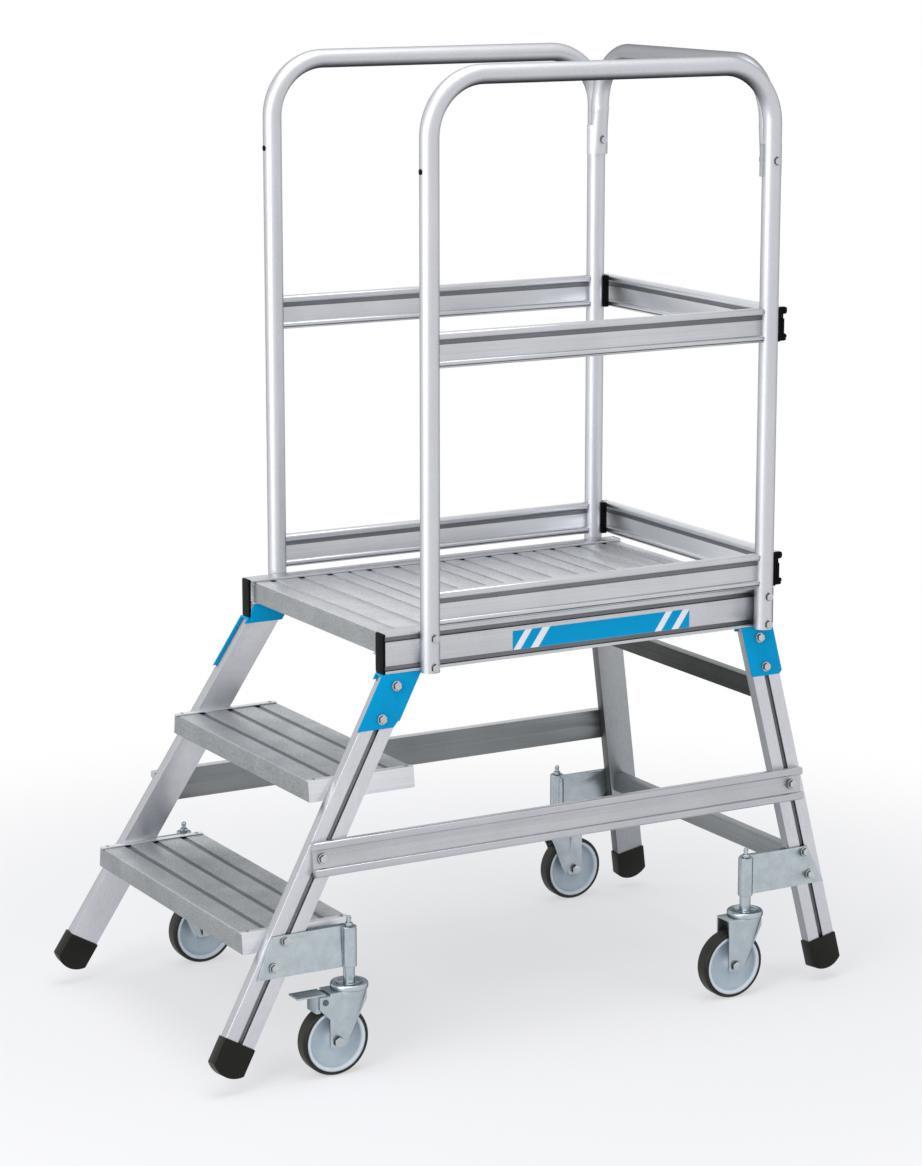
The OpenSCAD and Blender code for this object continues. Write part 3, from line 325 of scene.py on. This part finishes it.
def selectNothing(mesh):
    for part in (mesh.vertices, mesh.edges, mesh.polygons):
        part.foreach_set("select", [False] * len(part))


# gives the faces that the test picks a second finish
def paintFaces(piece, material, test):
    piece.data.materials.append(material)
    index = len(piece.data.materials) - 1
    chosen = [face for face in piece.data.polygons if test(face.center, face.normal)]
    for face in chosen:
        face.material_index = index
    print("second finish:", piece.name, len(chosen), "faces")


def mergedCopy(nodeName, dissolve):
    beginPiece()
    piece = bpy.data.objects.new(nodeName + "_finished", nodes[nodeName].data.copy())
    bpy.context.scene.collection.objects.link(piece)
    makeActive(piece)
    bpy.ops.object.mode_set(mode="EDIT")
    bpy.ops.mesh.select_all(action="SELECT")
    bpy.ops.mesh.customdata_custom_splitnormals_clear()
    bpy.ops.mesh.remove_doubles(threshold=merging["cad"])
    if dissolve:
        bpy.ops.mesh.dissolve_limited(angle_limit=merging["flat"])
    bpy.ops.object.mode_set(mode="OBJECT")
    return piece


# a copy of a CAD node whose edges get the small radius that extruding, pressing or moulding leaves
def roundedCopy(nodeName, edgeMm, steps, material):
    piece = mergedCopy(nodeName, edgeMm > 0)
    if edgeMm:
        edge = piece.modifiers.new("edge", "BEVEL")
        edge.width = edgeMm / 1000
        edge.segments = steps
        edge.limit_method = "ANGLE"
        edge.angle_limit = sharpFrom["bevel"]
        edge.use_clamp_overlap = True
        bpy.ops.object.modifier_apply(modifier="edge")
    bpy.ops.object.shade_smooth_by_angle(angle=sharpFrom["finished"])
    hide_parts(nodeName)
    return finishPiece(piece, nodeName + "_finished", bodyOf[nodeName], material)


# edge radius in mm, its steps and the finish
finishes = {
    "beam_left": (1.0, 2, extrudedBeam), "beam_right": (1.0, 2, extrudedBeam),
    "beam_plugs": (3.2, 4, plugPlastic),
    "front_leg_left": (1.2, 2, frontLegMetal), "front_leg_right": (1.2, 2, frontLegMetal),
    "rear_leg_left": (1.2, 2, rearLegMetal), "rear_leg_right": (1.2, 2, rearLegMetal),
    "feet": (2.2, 3, footRubber), "leg_brackets": (0.9, 2, bluePowder),
    "slot_bolts": (0.7, 2, zincBolt), "guardrail_bolts": (0.7, 2, zincBolt),
    "tread_rivets": (0.5, 2, zincBolt),
    "side_brace_left": (0.8, 2, extrudedBrace), "side_brace_right": (0.8, 2, extrudedBrace),
    "rear_brace_upper": (1.2, 2, rearBraceShadeMetal), "rear_brace_lower": (1.2, 2, rearBraceShadeMetal),
    "tread_end_plates": (0.6, 2, sheetPlate),
    "knee_rail_left": (0.6, 2, extrudedBoard), "knee_rail_right": (0.6, 2, extrudedBoard),
    "toe_board_left": (0.6, 2, extrudedBoard), "toe_board_right": (0.6, 2, extrudedBoard),
    "rear_knee_rail": (0.6, 2, extrudedCross), "rear_toe_board": (0.6, 2, extrudedCross),
    "rail_end_caps": (0.8, 2, capPlastic), "rail_saddles": (0.6, 2, plugPlastic),
    "castor_brackets_front": (0.8, 2, zincPlate), "castor_brackets_rear": (0.8, 2, zincPlate),
    "pedal_left": (0.8, 2, zincPlate), "pedal_right": (0.8, 2, zincPlate),
    "side_rail_left": (0, 0, drawnTube), "side_rail_right": (0, 0, drawnTube),
    "rear_handrail": (0, 0, drawnTube),
}
for c in corners:
    finishes["fork_" + c] = (0.9, 2, zincPlate)
    finishes["axle_" + c] = (0.7, 2, zincBolt)
    finishes["tyre_" + c] = (0, 0, tyreRubber)

pieces = {}
for nodeName, (edgeMm, steps, material) in finishes.items():
    pieces[nodeName] = roundedCopy(nodeName, edgeMm, steps, material)
print("edges rounded:", len(finishes))

# springs: a copy of each, with its own mesh
for c in corners:
    spring = roundedCopy("spring_" + c, 0, 0, zincBolt)
    low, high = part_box("spring_" + c)
    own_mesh(spring)
print("springs fitted:", len(corners))

# planks: the die leaves the grooves with soft edges, their floors get painted shade, and where they run in under
# the flanges a painted shadow stands for the dark gap
grooves = {"softMm": 0.9, "steps": 3, "depthMm": 2.0, "gapMm": 1.8,
           "slack": 0.0001, "floorBelow": 0.0005, "gapBelow": 0.0008,        # m from the plank's top
           "level": 0.3, "longerThan": 0.1, "flangeHeight": 0.006, "noseDepth": 0.008}
planks = {"deck_planks": (0.740, millDeck, deckGrooveShade, ("beam_left", "beam_right")),
          "deck_edge_planks": (0.740, millDeck, deckGrooveShade, ("beam_left", "beam_right")),
          "tread_lower": (0.2615, millTread, treadGrooveShade, ("tread_end_plates",)),
          "tread_upper": (0.5015, millTread, treadGrooveShade, ("tread_end_plates",))}
for nodeName, (topZ, topMetal, grooveShade, flanges) in planks.items():
    plank = mergedCopy(nodeName, True)
    points = [v.co for v in plank.data.vertices]
    lowest = topZ - grooves["depthMm"] / 1000 - grooves["slack"]
    selectNothing(plank.data)
    for edge in plank.data.edges:
        a, b = (points[i] for i in edge.vertices)
        edge.select = (abs(a.x - b.x) > grooves["longerThan"] and lowest < min(a.z, b.z)
                       and max(a.z, b.z) < topZ + grooves["slack"])
    bpy.ops.object.mode_set(mode="EDIT")
    bpy.ops.mesh.select_mode(type="EDGE")
    bpy.ops.mesh.bevel(offset=grooves["softMm"] / 1000, segments=grooves["steps"], affect="EDGES",
                       clamp_overlap=True)
    flangeX = min(abs(v.co.x) for n in flanges for v in pieces[n].data.vertices
                  if 0 < v.co.z - topZ < grooves["flangeHeight"])
    gapX = flangeX - grooves["gapMm"] / 1000
    for sign in sides.values():
        bpy.ops.mesh.select_all(action="SELECT")
        bpy.ops.mesh.bisect(plane_co=(sign * gapX, 0, 0), plane_no=(1, 0, 0))
    bpy.ops.object.mode_set(mode="OBJECT")
    bpy.ops.object.shade_smooth_by_angle(angle=sharpFrom["finished"])
    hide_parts(nodeName)
    pieces[nodeName] = finishPiece(plank, nodeName + "_finished", bodyOf[nodeName],
                                   topMetal)
    frontY = min(v.co.y for v in plank.data.vertices)
    noseY = frontY if nodeName == "deck_planks" else frontY + grooves["noseDepth"]
    paintFaces(plank, grooveShade, lambda centre, normal: lowest < centre.z < topZ - grooves["floorBelow"]
               and normal.z > grooves["level"] and centre.y > noseY)
    paintFaces(plank, gapShade, lambda centre, normal: lowest < centre.z < topZ - grooves["gapBelow"]
               and abs(centre.x) > gapX)
print("planks grooved:", len(planks))

# noses: the front face gets painted shade, darker than the top
noseShades = {"deck_edge_planks": deckNoseShade, "tread_lower": treadNoseShade, "tread_upper": treadNoseShade}
for nodeName, noseShadeMetal in noseShades.items():
    noseY = min(v.co.y for v in pieces[nodeName].data.vertices) + grooves["noseDepth"]
    paintFaces(pieces[nodeName], noseShadeMetal,
               lambda centre, normal: normal.y < -facing["halfway"] and centre.y < noseY)

# bolts: the spanner flats get painted shade, darker than the faces; the rear rail ends have black caps
boltPlaces = {"outside": 0.3, "handrail": 1.5, "rearCaps": 0.45}        # m along X, Z and Y
for nodeName in ["slot_bolts"] + ["axle_" + c for c in corners]:
    paintFaces(pieces[nodeName], boltFlatShade, lambda centre, normal: abs(normal.x) < facing["partly"])
paintFaces(pieces["guardrail_bolts"], boltFlatShade, lambda centre, normal: abs(normal.x) < facing["partly"]
           and (abs(centre.x) > boltPlaces["outside"] or centre.z > boltPlaces["handrail"]))
paintFaces(pieces["rail_end_caps"], plugPlastic, lambda centre, normal: centre.y > boltPlaces["rearCaps"])

# pedal pivots: the pin heads take the same darker finish, a painted dark dot
pedalPin = {"r": 0.0065, "headMm": 1.9}
for side in sides:
    fork = pieces["fork_front_" + side]
    pivot = next(Vector(j["pos_m"]) for j in frame["joints"] if j["name"] == side + "_brake_pedal")
    reach = max(abs(v.co.x - pivot.x) for v in fork.data.vertices
                if (v.co - pivot).yz.length < pedalPin["r"])
    paintFaces(fork, boltFlatShade, lambda centre, normal: (centre - pivot).yz.length < pedalPin["r"]
               and abs(centre.x - pivot.x) > reach - pedalPin["headMm"] / 1000)

# handrail tubes: painted shade underneath, and on the rear handrail a weaker painted shade all round its top
underShadeRamps = {"steep": (0.25, 0.75), "z": (1.52, 1.62), "rearZ": (1.64, 1.70), "rear": 0.45}
for nodeName in ("side_rail_left", "side_rail_right", "rear_handrail"):
    mesh = pieces[nodeName].data
    underside = mesh.attributes.new("underside", "FLOAT", "POINT")
    for vertex in mesh.vertices:
        ramps = [(-vertex.normal.z, underShadeRamps["steep"]), (vertex.co.z, underShadeRamps["z"]),
                 (vertex.co.z, underShadeRamps["rearZ"])]
        steep, high, rear = [min(1, max(0, (value - first) / (last - first)))
                             for value, (first, last) in ramps]
        allRound = rear * underShadeRamps["rear"] if nodeName == "rear_handrail" else 0
        underside.data[vertex.index].value = max(steep * high, allRound)

# slots get painted shade, and so does what faces away from the light
slotFloors = {"beam": (0.0012, 0.0075), "beamZ": (0.675, 0.7395), "leg": (0.0016, 0.0075)}       # m inwards
paintFaces(pieces["rear_brace_upper"], shadeMetal, lambda centre, normal: normal.y < -facing["squarely"])
for side, sign in sides.items():
    paintFaces(pieces["side_brace_" + side], braceInsideShade,
               lambda centre, normal: -sign * normal.x > facing["partly"])
    beamFace = max(abs(v.co.x) for v in pieces["beam_" + side].data.vertices)
    (shallow, deep), (lowZ, highZ) = slotFloors["beam"], slotFloors["beamZ"]
    paintFaces(pieces["beam_" + side], slotShade, lambda centre, normal:
               shallow < beamFace - abs(centre.x) < deep and lowZ < centre.z < highZ)
    for end in ("front", "rear"):
        leg = pieces[end + "_leg_" + side]
        outward = max((f for f in leg.data.polygons if f.normal.x * sign > facing["squarely"]),
                      key=lambda f: f.area).normal.copy()
        outer = max(outward.dot(v.co) for v in leg.data.vertices)
        shallow, deep = slotFloors["leg"]
        paintFaces(leg, slotShade, lambda centre, normal: shallow < outer - outward.dot(centre) < deep)
        frontShade = legFrontShadeMetal
        # rear legs: painted shade on the inner faces and the front faces, darkest on the left leg's front
        if end == "rear":
            paintFaces(leg, innerShadeMetal, lambda centre, normal: outward.dot(normal) < -facing["squarely"])
            frontShade = rearLegShadeMetal if side == "left" else innerShadeMetal
        paintFaces(leg, frontShade, lambda centre, normal: normal.y < -facing["mostly"])

# saddles: their outer cheeks are trimmed back behind the posts
saddleTrim = 0.302
makeActive(pieces["rail_saddles"])
bpy.ops.object.mode_set(mode="EDIT")
for sign in sides.values():
    bpy.ops.mesh.select_all(action="SELECT")
    bpy.ops.mesh.bisect(plane_co=(sign * saddleTrim, 0, 0), plane_no=(sign, 0, 0), use_fill=True,
                        clear_outer=True)
bpy.ops.object.mode_set(mode="OBJECT")

# leg brackets: the inner cheeks are short, cut along the legs' lean
cheek = {"low": 0.640, "x": 0.2625, "liftX": 0.0031, "liftZ": 0.0270,
         "liftY": {-1: 0.0160, 1: -0.0051}}        # front and rear
brackets = pieces["leg_brackets"]
for sign in sides.values():
    for end, liftY in cheek["liftY"].items():
        makeActive(brackets)
        selectNothing(brackets.data)
        for vertex in brackets.data.vertices:
            vertex.select = (vertex.co.z < cheek["low"] and 0 < vertex.co.x * sign < cheek["x"]
                             and vertex.co.y * end > 0)
        bpy.ops.object.mode_set(mode="EDIT")
        bpy.ops.mesh.select_mode(type="VERT")
        bpy.ops.transform.translate(value=(-sign * cheek["liftX"], liftY, cheek["liftZ"]))
        bpy.ops.object.mode_set(mode="OBJECT")

# front brackets: a plate stands up against the beam's inside
innerPlate = {"x": 0.245, "thick": 0.003, "y": (-0.34, -0.16), "z": (0.664, 0.7005),
              "edge": 0.0007, "steps": 2,
              "cuts": [(-0.290, -1, legLean["front"]), (-0.219, 1, legLean["front"]),
                       (-0.2775, -1, 0)]}        # y, side cut away, lean
for side, sign in sides.items():
    beginPiece()
    bpy.ops.mesh.primitive_cube_add(size=1)
    plate = bpy.context.object
    bpy.ops.object.mode_set(mode="EDIT")
    bpy.ops.mesh.select_all(action="SELECT")
    (y0, y1), (z0, z1) = innerPlate["y"], innerPlate["z"]
    bpy.ops.transform.resize(value=(innerPlate["thick"], y1 - y0, z1 - z0))
    bpy.ops.transform.translate(value=(sign * (innerPlate["x"] - innerPlate["thick"] / 2),
                                       (y0 + y1) / 2, (z0 + z1) / 2))
    for y, outward, lean in innerPlate["cuts"]:
        bpy.ops.mesh.select_all(action="SELECT")
        bpy.ops.mesh.bisect(plane_co=(0, y, z0), use_fill=True, clear_outer=True,
                            plane_no=(0, outward * cos(radians(lean)), -outward * sin(radians(lean))))
    bpy.ops.mesh.select_all(action="SELECT")
    bpy.ops.mesh.bevel(offset=innerPlate["edge"], segments=innerPlate["steps"], affect="EDGES")
    bpy.ops.object.mode_set(mode="OBJECT")
    bpy.ops.object.shade_smooth_by_angle(angle=sharpFrom["finished"])
    finishPiece(plate, "bracket_inner_plate_" + side, "frame", bluePowder)
print("brackets fitted")

# boards: the slot under the top bead and the line along the bottom one get painted shade
boardLines = {"slot": (12.8, 21.2, 0.0, 3.3), "line": (55.3, 57.7, 6.0, 8.8)}        # mm down and mm out
for nodeName in ("knee_rail_left", "knee_rail_right", "toe_board_left", "toe_board_right",
                 "rear_knee_rail", "rear_toe_board"):
    low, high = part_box(nodeName)
    axis = 1 if nodeName[:4] == "rear" else 0
    middle = (low[axis] + high[axis]) / 2
    for top, bottom, inner, outer in boardLines.values():
        paintFaces(pieces[nodeName], slotShade, lambda centre, normal:
                   top < (high[2] - centre.z) * 1000 < bottom
                   and inner < abs(centre[axis] - middle) * 1000 < outer)


# turned shape about Z: a ring is drawn out and resized from one (radius, height) in mm to the next
def turnedPiece(profile, steps):
    beginPiece()
    radius, height = profile[0]
    bpy.ops.mesh.primitive_circle_add(vertices=steps, radius=radius / 1000, location=(0, 0, height / 1000))
    piece = bpy.context.object
    bpy.ops.object.transform_apply(location=True)
    bpy.ops.object.mode_set(mode="EDIT")
    bpy.ops.mesh.select_all(action="SELECT")
    for nextRadius, nextHeight in profile[1:]:
        rise = (nextHeight - height) / 1000
        bpy.ops.mesh.extrude_edges_move(TRANSFORM_OT_translate={"value": (0, 0, rise)})
        grow = nextRadius / radius
        bpy.ops.transform.resize(value=(grow, grow, 1), center_override=(0, 0, nextHeight / 1000))
        radius, height = nextRadius, nextHeight
    bpy.ops.mesh.select_all(action="SELECT")
    bpy.ops.mesh.remove_doubles(threshold=merging["turned"])
    bpy.ops.mesh.normals_make_consistent(inside=False)
    bpy.ops.object.mode_set(mode="OBJECT")
    bpy.ops.object.shade_smooth_by_angle(angle=sharpFrom["turned"])
    return piece


# castor wheel: hub, dished web and a proud rim ring, all one moulding
wheelShape = {"half": [(5.1, 16.6), (11.5, 16.6), (13.6, 15.8), (15.2, 13.4), (16.4, 9.4), (19.5, 6.0),
                       (25.0, 4.2), (32.0, 3.4), (38.0, 3.4), (43.0, 4.4), (46.6, 6.8), (48.6, 10.2),
                       (49.4, 13.2), (50.2, 14.2), (51.2, 14.5), (54.6, 14.5), (55.6, 14.1), (55.95, 13.3)],
              "steps": 96, "rimFrom": 0.0485}
half = wheelShape["half"]
wheelProfile = half + [(r, -h) for r, h in reversed(half)] + half[:1]
wheelMaster = turnedPiece(wheelProfile, wheelShape["steps"])
layOver(wheelMaster, (0, radians(90), 0))
for c in corners:
    low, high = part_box("wheel_" + c)
    centre = [(a + b) / 2 for a, b in zip(low, high)]
    wheel = copyPiece(wheelMaster, "wheel_" + c + "_turned", centre)
    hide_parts("wheel_" + c)
    finishPiece(wheel, "wheel_" + c + "_turned", bodyOf["wheel_" + c], hubPlastic)
    # the rim ring takes the painted highlight
    paintFaces(wheel, rimHighlight,
               lambda spot, normal: (spot - Vector(centre)).yz.length > wheelShape["rimFrom"])
bpy.data.objects.remove(wheelMaster)
print("wheels turned:", len(corners))

# castor stems, turned from bar: kingpin and rivet head below, swivel head with a domed ring, shaft, rod and
# nut, with an upright wire ring on top
stemShape = {"profile": [(0.05, 143.7), (9.4, 143.7), (10.0, 144.3), (10.0, 146.1), (9.4, 146.7),
                         (6.0, 146.7), (6.0, 150.3), (31.8, 150.3), (33.0, 151.4), (33.0, 156.0),
                         (32.6, 158.0), (31.3, 159.6), (29.2, 160.3), (26.4, 160.2), (23.4, 159.4),
                         (20.8, 157.9), (18.8, 156.6), (16.5, 156.1), (10.6, 156.1), (10.0, 156.7),
                         (10.0, 214.7), (9.4, 215.3), (4.0, 215.3), (4.0, 258.4), (6.5, 258.4),
                         (7.0, 258.9), (7.0, 263.9), (6.5, 264.4), (4.0, 264.4), (4.0, 271.5),
                         (3.2, 272.3), (0.05, 272.3)],
             "steps": 64, "ring": (4.0, 1.2, 272.3), "ringSteps": 24, "wireTurn": 36}
stemMaster = turnedPiece(stemShape["profile"], stemShape["steps"])
ringR, wireR, ringZ = stemShape["ring"]
ringProfile = [(ringR + wireR * cos(radians(a)), wireR * sin(radians(a)))
               for a in range(0, 361, stemShape["wireTurn"])]
ringMaster = turnedPiece(ringProfile, stemShape["ringSteps"])
ringMaster.rotation_euler = (0, radians(90), 0)
ringMaster.location = (0, 0, ringZ / 1000)
makeActive(ringMaster)
stemMaster.select_set(True)
bpy.context.view_layer.objects.active = stemMaster
bpy.ops.object.join()

# bracket tubes: drawn tube over the sprung stem, its ends rolled
sleeveShape = {"profile": [(12.0, 187.3), (12.9, 187.3), (13.45, 187.9), (13.45, 257.3), (12.8, 258.2),
                           (11.6, 258.35)], "steps": 64}
sleeveMaster = turnedPiece(sleeveShape["profile"], sleeveShape["steps"])
for c in corners:
    low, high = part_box("stem_" + c)
    spot = ((low[0] + high[0]) / 2, (low[1] + high[1]) / 2, 0)
    stem = copyPiece(stemMaster, "stem_" + c + "_turned", spot)
    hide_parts("stem_" + c)
    finishPiece(stem, "stem_" + c + "_turned", bodyOf["stem_" + c], zincTube)
    sleeve = copyPiece(sleeveMaster, "bracket_tube_" + c, spot)
    finishPiece(sleeve, "bracket_tube_" + c, "frame", zincTube)
bpy.data.objects.remove(stemMaster)
bpy.data.objects.remove(sleeveMaster)
print("castor stems turned:", len(corners))

# small press-in plugs in the front posts, one each
plugShape = {"profile": [(5.2, -1.0), (5.2, 0.5), (4.9, 1.0), (4.0, 1.5), (2.6, 1.8), (1.2, 1.9),
                         (0.05, 1.9)],
             "steps": 24, "y": -0.2155, "z": 1.527, "x": 0.292}
plugMaster = turnedPiece(plugShape["profile"], plugShape["steps"])
layOver(plugMaster, (radians(90), 0, 0))
for side, sign in sides.items():
    spot = (sign * plugShape["x"], plugShape["y"], plugShape["z"])
    plug = copyPiece(plugMaster, "post_plug_" + side, spot)
    finishPiece(plug, "post_plug_" + side, "frame", plugPlastic)
bpy.data.objects.remove(plugMaster)

# printed vinyl label on each beam, stripes at both ends and a plain middle
labelShape = {"x": 0.275, "y": (-0.0245, 0.3435), "z": (0.688, 0.722), "thick": 0.0004,
              "corner": 0.0012, "steps": 3}
labelLook = {"blue": "#009ed5", "white": "#f4f5f7", "roughness": 0.36, "gloss": 0.08, "lean": -0.70,
             "stripesMm": [(1.3, 15.6), (36.4, 52.0), (294.0, 308.0), (330.0, 344.6)],
             "rippleMm": 14, "relief": 0.05}


# printed vinyl: flat satin colour, faint ripples from smoothing it down by hand
def labelFinish(name, sign, look):
    material, tree, surface = startMaterial(name, look["blue"], 0.0, look["roughness"])
    surface.inputs["Specular IOR Level"].default_value = look["gloss"]
    (lowY, highY), lowZ = labelShape["y"], labelShape["z"][0]
    start = -lowY * 1000 if sign > 0 else highY * 1000
    place = addNode(tree, "ShaderNodeTexCoord")
    inMm = addNode(tree, "ShaderNodeMapping", [(place, "Object", 0)], in1=(0, start, -lowZ * 1000),
                   in3=(1000, sign * 1000, 1000))
    axes = addNode(tree, "ShaderNodeSeparateXYZ", [(inMm, 0, 0)])
    lean = addNode(tree, "ShaderNodeMath", [(axes, "Z", 0), (axes, "Y", 2)], operation="MULTIPLY_ADD",
                   in1=look["lean"])
    white = None
    for first, last in look["stripesMm"]:
        stripe = addNode(tree, "ShaderNodeMath", [(lean, 0, 0)], operation="COMPARE",
                         in1=(first + last) / 2, in2=(last - first) / 2)
        white = stripe if white is None else addNode(tree, "ShaderNodeMath", [(white, 0, 0), (stripe, 0, 1)],
                                                     operation="MAXIMUM")
    tint = addNode(tree, "ShaderNodeMix", [(white, 0, 0)], data_type="RGBA",
                   in6=hexColour(look["blue"]), in7=hexColour(look["white"]))
    ripple = addNode(tree, "ShaderNodeTexNoise", [(place, "Object", "Vector")],
                     in2=1000 / look["rippleMm"], in3=2.0)
    relief = addNode(tree, "ShaderNodeBump", [(ripple, 0, "Height")], in0=look["relief"], in1=reliefDepth)
    feedSurface(tree, surface, {"Base Color": (tint, 2), "Normal": (relief, 0)})
    return material


for side, sign in sides.items():
    beginPiece()
    bpy.ops.mesh.primitive_plane_add(size=1)
    label = bpy.context.object
    bpy.ops.object.mode_set(mode="EDIT")
    bpy.ops.mesh.select_all(action="SELECT")
    (y0, y1), (z0, z1) = labelShape["y"], labelShape["z"]
    bpy.ops.transform.resize(value=(y1 - y0, z1 - z0, 1))
    bpy.ops.mesh.bevel(offset=labelShape["corner"], segments=labelShape["steps"], affect="VERTICES")
    bpy.ops.mesh.select_all(action="SELECT")
    bpy.ops.mesh.extrude_region_move(TRANSFORM_OT_translate={"value": (0, 0, labelShape["thick"])})
    bpy.ops.mesh.select_all(action="SELECT")
    bpy.ops.mesh.normals_make_consistent(inside=False)
    bpy.ops.object.mode_set(mode="OBJECT")
    label.rotation_euler = (radians(90), 0, radians(90 * sign))
    label.location = (sign * labelShape["x"], (y0 + y1) / 2, (z0 + z1) / 2)
    printed = labelFinish("printed_vinyl_" + side, sign, labelLook)
    finishPiece(label, "side_label_" + side, "frame", printed)
print("plugs and labels fitted")


# stage

# the rays that meet a white background: the camera's own and those that metal or glass sends on
def backgroundRays(tree):
    rays = addNode(tree, "ShaderNodeLightPath")
    either = addNode(tree, "ShaderNodeMath", [(rays, "Is Camera Ray", 0), (rays, "Is Glossy Ray", 1)],
                     operation="MAXIMUM")
    return addNode(tree, "ShaderNodeMath", [(either, 0, 0), (rays, "Is Transmission Ray", 1)],
                   operation="MAXIMUM")


def aimAt(thing, place, aim):
    thing.location = place
    thing.rotation_euler = (Vector(aim) - Vector(place)).to_track_quat("-Z", "Y").to_euler()


floorLook = {"size": 14.0, "colour": "#ebebf0", "roughness": 0.9, "near": 0.8, "far": 2.0, "lift": 0.54}
beginPiece()
bpy.ops.mesh.primitive_plane_add(size=floorLook["size"], location=(0, 0, 0))
floor = bpy.context.object
floor.name = "floor"
floorMaterial, tree, surface = startMaterial("pale_floor", floorLook["colour"], 0.0, floorLook["roughness"])
surface.inputs["Specular IOR Level"].default_value = 0.0
place = addNode(tree, "ShaderNodeTexCoord")
distance = addNode(tree, "ShaderNodeVectorMath", [(place, "Object", 0)], operation="LENGTH")
fade = addNode(tree, "ShaderNodeMapRange", [(distance, "Value", 0)], in1=floorLook["near"],
               in2=floorLook["far"], in3=floorLook["lift"], in4=1.0, interpolation_type="SMOOTHSTEP")
shown = backgroundRays(tree)
seen = addNode(tree, "ShaderNodeMath", [(shown, 0, 0), (fade, 0, 1)], operation="MULTIPLY")
white = addNode(tree, "ShaderNodeEmission", in0=(1, 1, 1, 1), in1=1.0)
lifted = addNode(tree, "ShaderNodeMixShader", [(seen, 0, 0), (surface, 0, 1), (white, 0, 2)])
tree.links.new(lifted.outputs[0], tree.nodes["Material Output"].inputs["Surface"])
floor.data.materials.append(floorMaterial)

worldLook = {"ambient": (0.95, 0.97, 1.0, 1), "strength": 0.5}
world = bpy.data.worlds.new("studio")
bpy.context.scene.world = world
world.use_nodes = True
tree = world.node_tree
ambient = tree.nodes["Background"]
ambient.inputs[0].default_value = worldLook["ambient"]
ambient.inputs[1].default_value = worldLook["strength"]
backdrop = addNode(tree, "ShaderNodeBackground", in0=(1, 1, 1, 1), in1=1.0)
shown = backgroundRays(tree)
sky = addNode(tree, "ShaderNodeMixShader", [(shown, 0, 0), (ambient, 0, 1), (backdrop, 0, 2)])
tree.links.new(sky.outputs[0], tree.nodes["World Output"].inputs["Surface"])

lamps = {
    "top_softbox": {"place": (0.4, -0.3, 4.2), "aim": (0, 0, 0.6), "size": 3.0, "power": 60,
                    "mirrored": True},
    "right_softbox": {"place": (3.9, 2.4, 1.0), "aim": (0, 0.1, 0.7), "size": 2.4, "power": 34,
                      "mirrored": False},
    "key_softbox": {"place": (2.3, -3.6, 3.6), "aim": (0, 0, 0.6), "size": 1.8, "power": 40,
                    "mirrored": True},
    "front_softbox": {"place": (1.0, -4.3, 1.3), "aim": (0, 0, 0.9), "size": 3.4, "power": 70,
                      "mirrored": True},
}
for name, lamp in lamps.items():
    data = bpy.data.lights.new(name, "AREA")
    data.shape = "DISK"
    data.size = lamp["size"]
    data.energy = lamp["power"]
    light = bpy.data.objects.new(name, data)
    bpy.context.scene.collection.objects.link(light)
    light.visible_glossy = lamp["mirrored"]
    aimAt(light, lamp["place"], lamp["aim"])

eye = {"place": (5.1114, -2.8815, 1.9916), "aim": (-0.0192, 0.0393, 0.7469), "lens": 102.11, "sensor": 36}
data = bpy.data.cameras.new("eye")
data.lens = eye["lens"]
data.sensor_width = eye["sensor"]
data.dof.use_dof = False
camera = bpy.data.objects.new("eye", data)
bpy.context.scene.collection.objects.link(camera)
aimAt(camera, eye["place"], eye["aim"])
bpy.context.scene.camera = camera
bpy.context.scene.view_settings.view_transform = "Standard"
print("stage set")
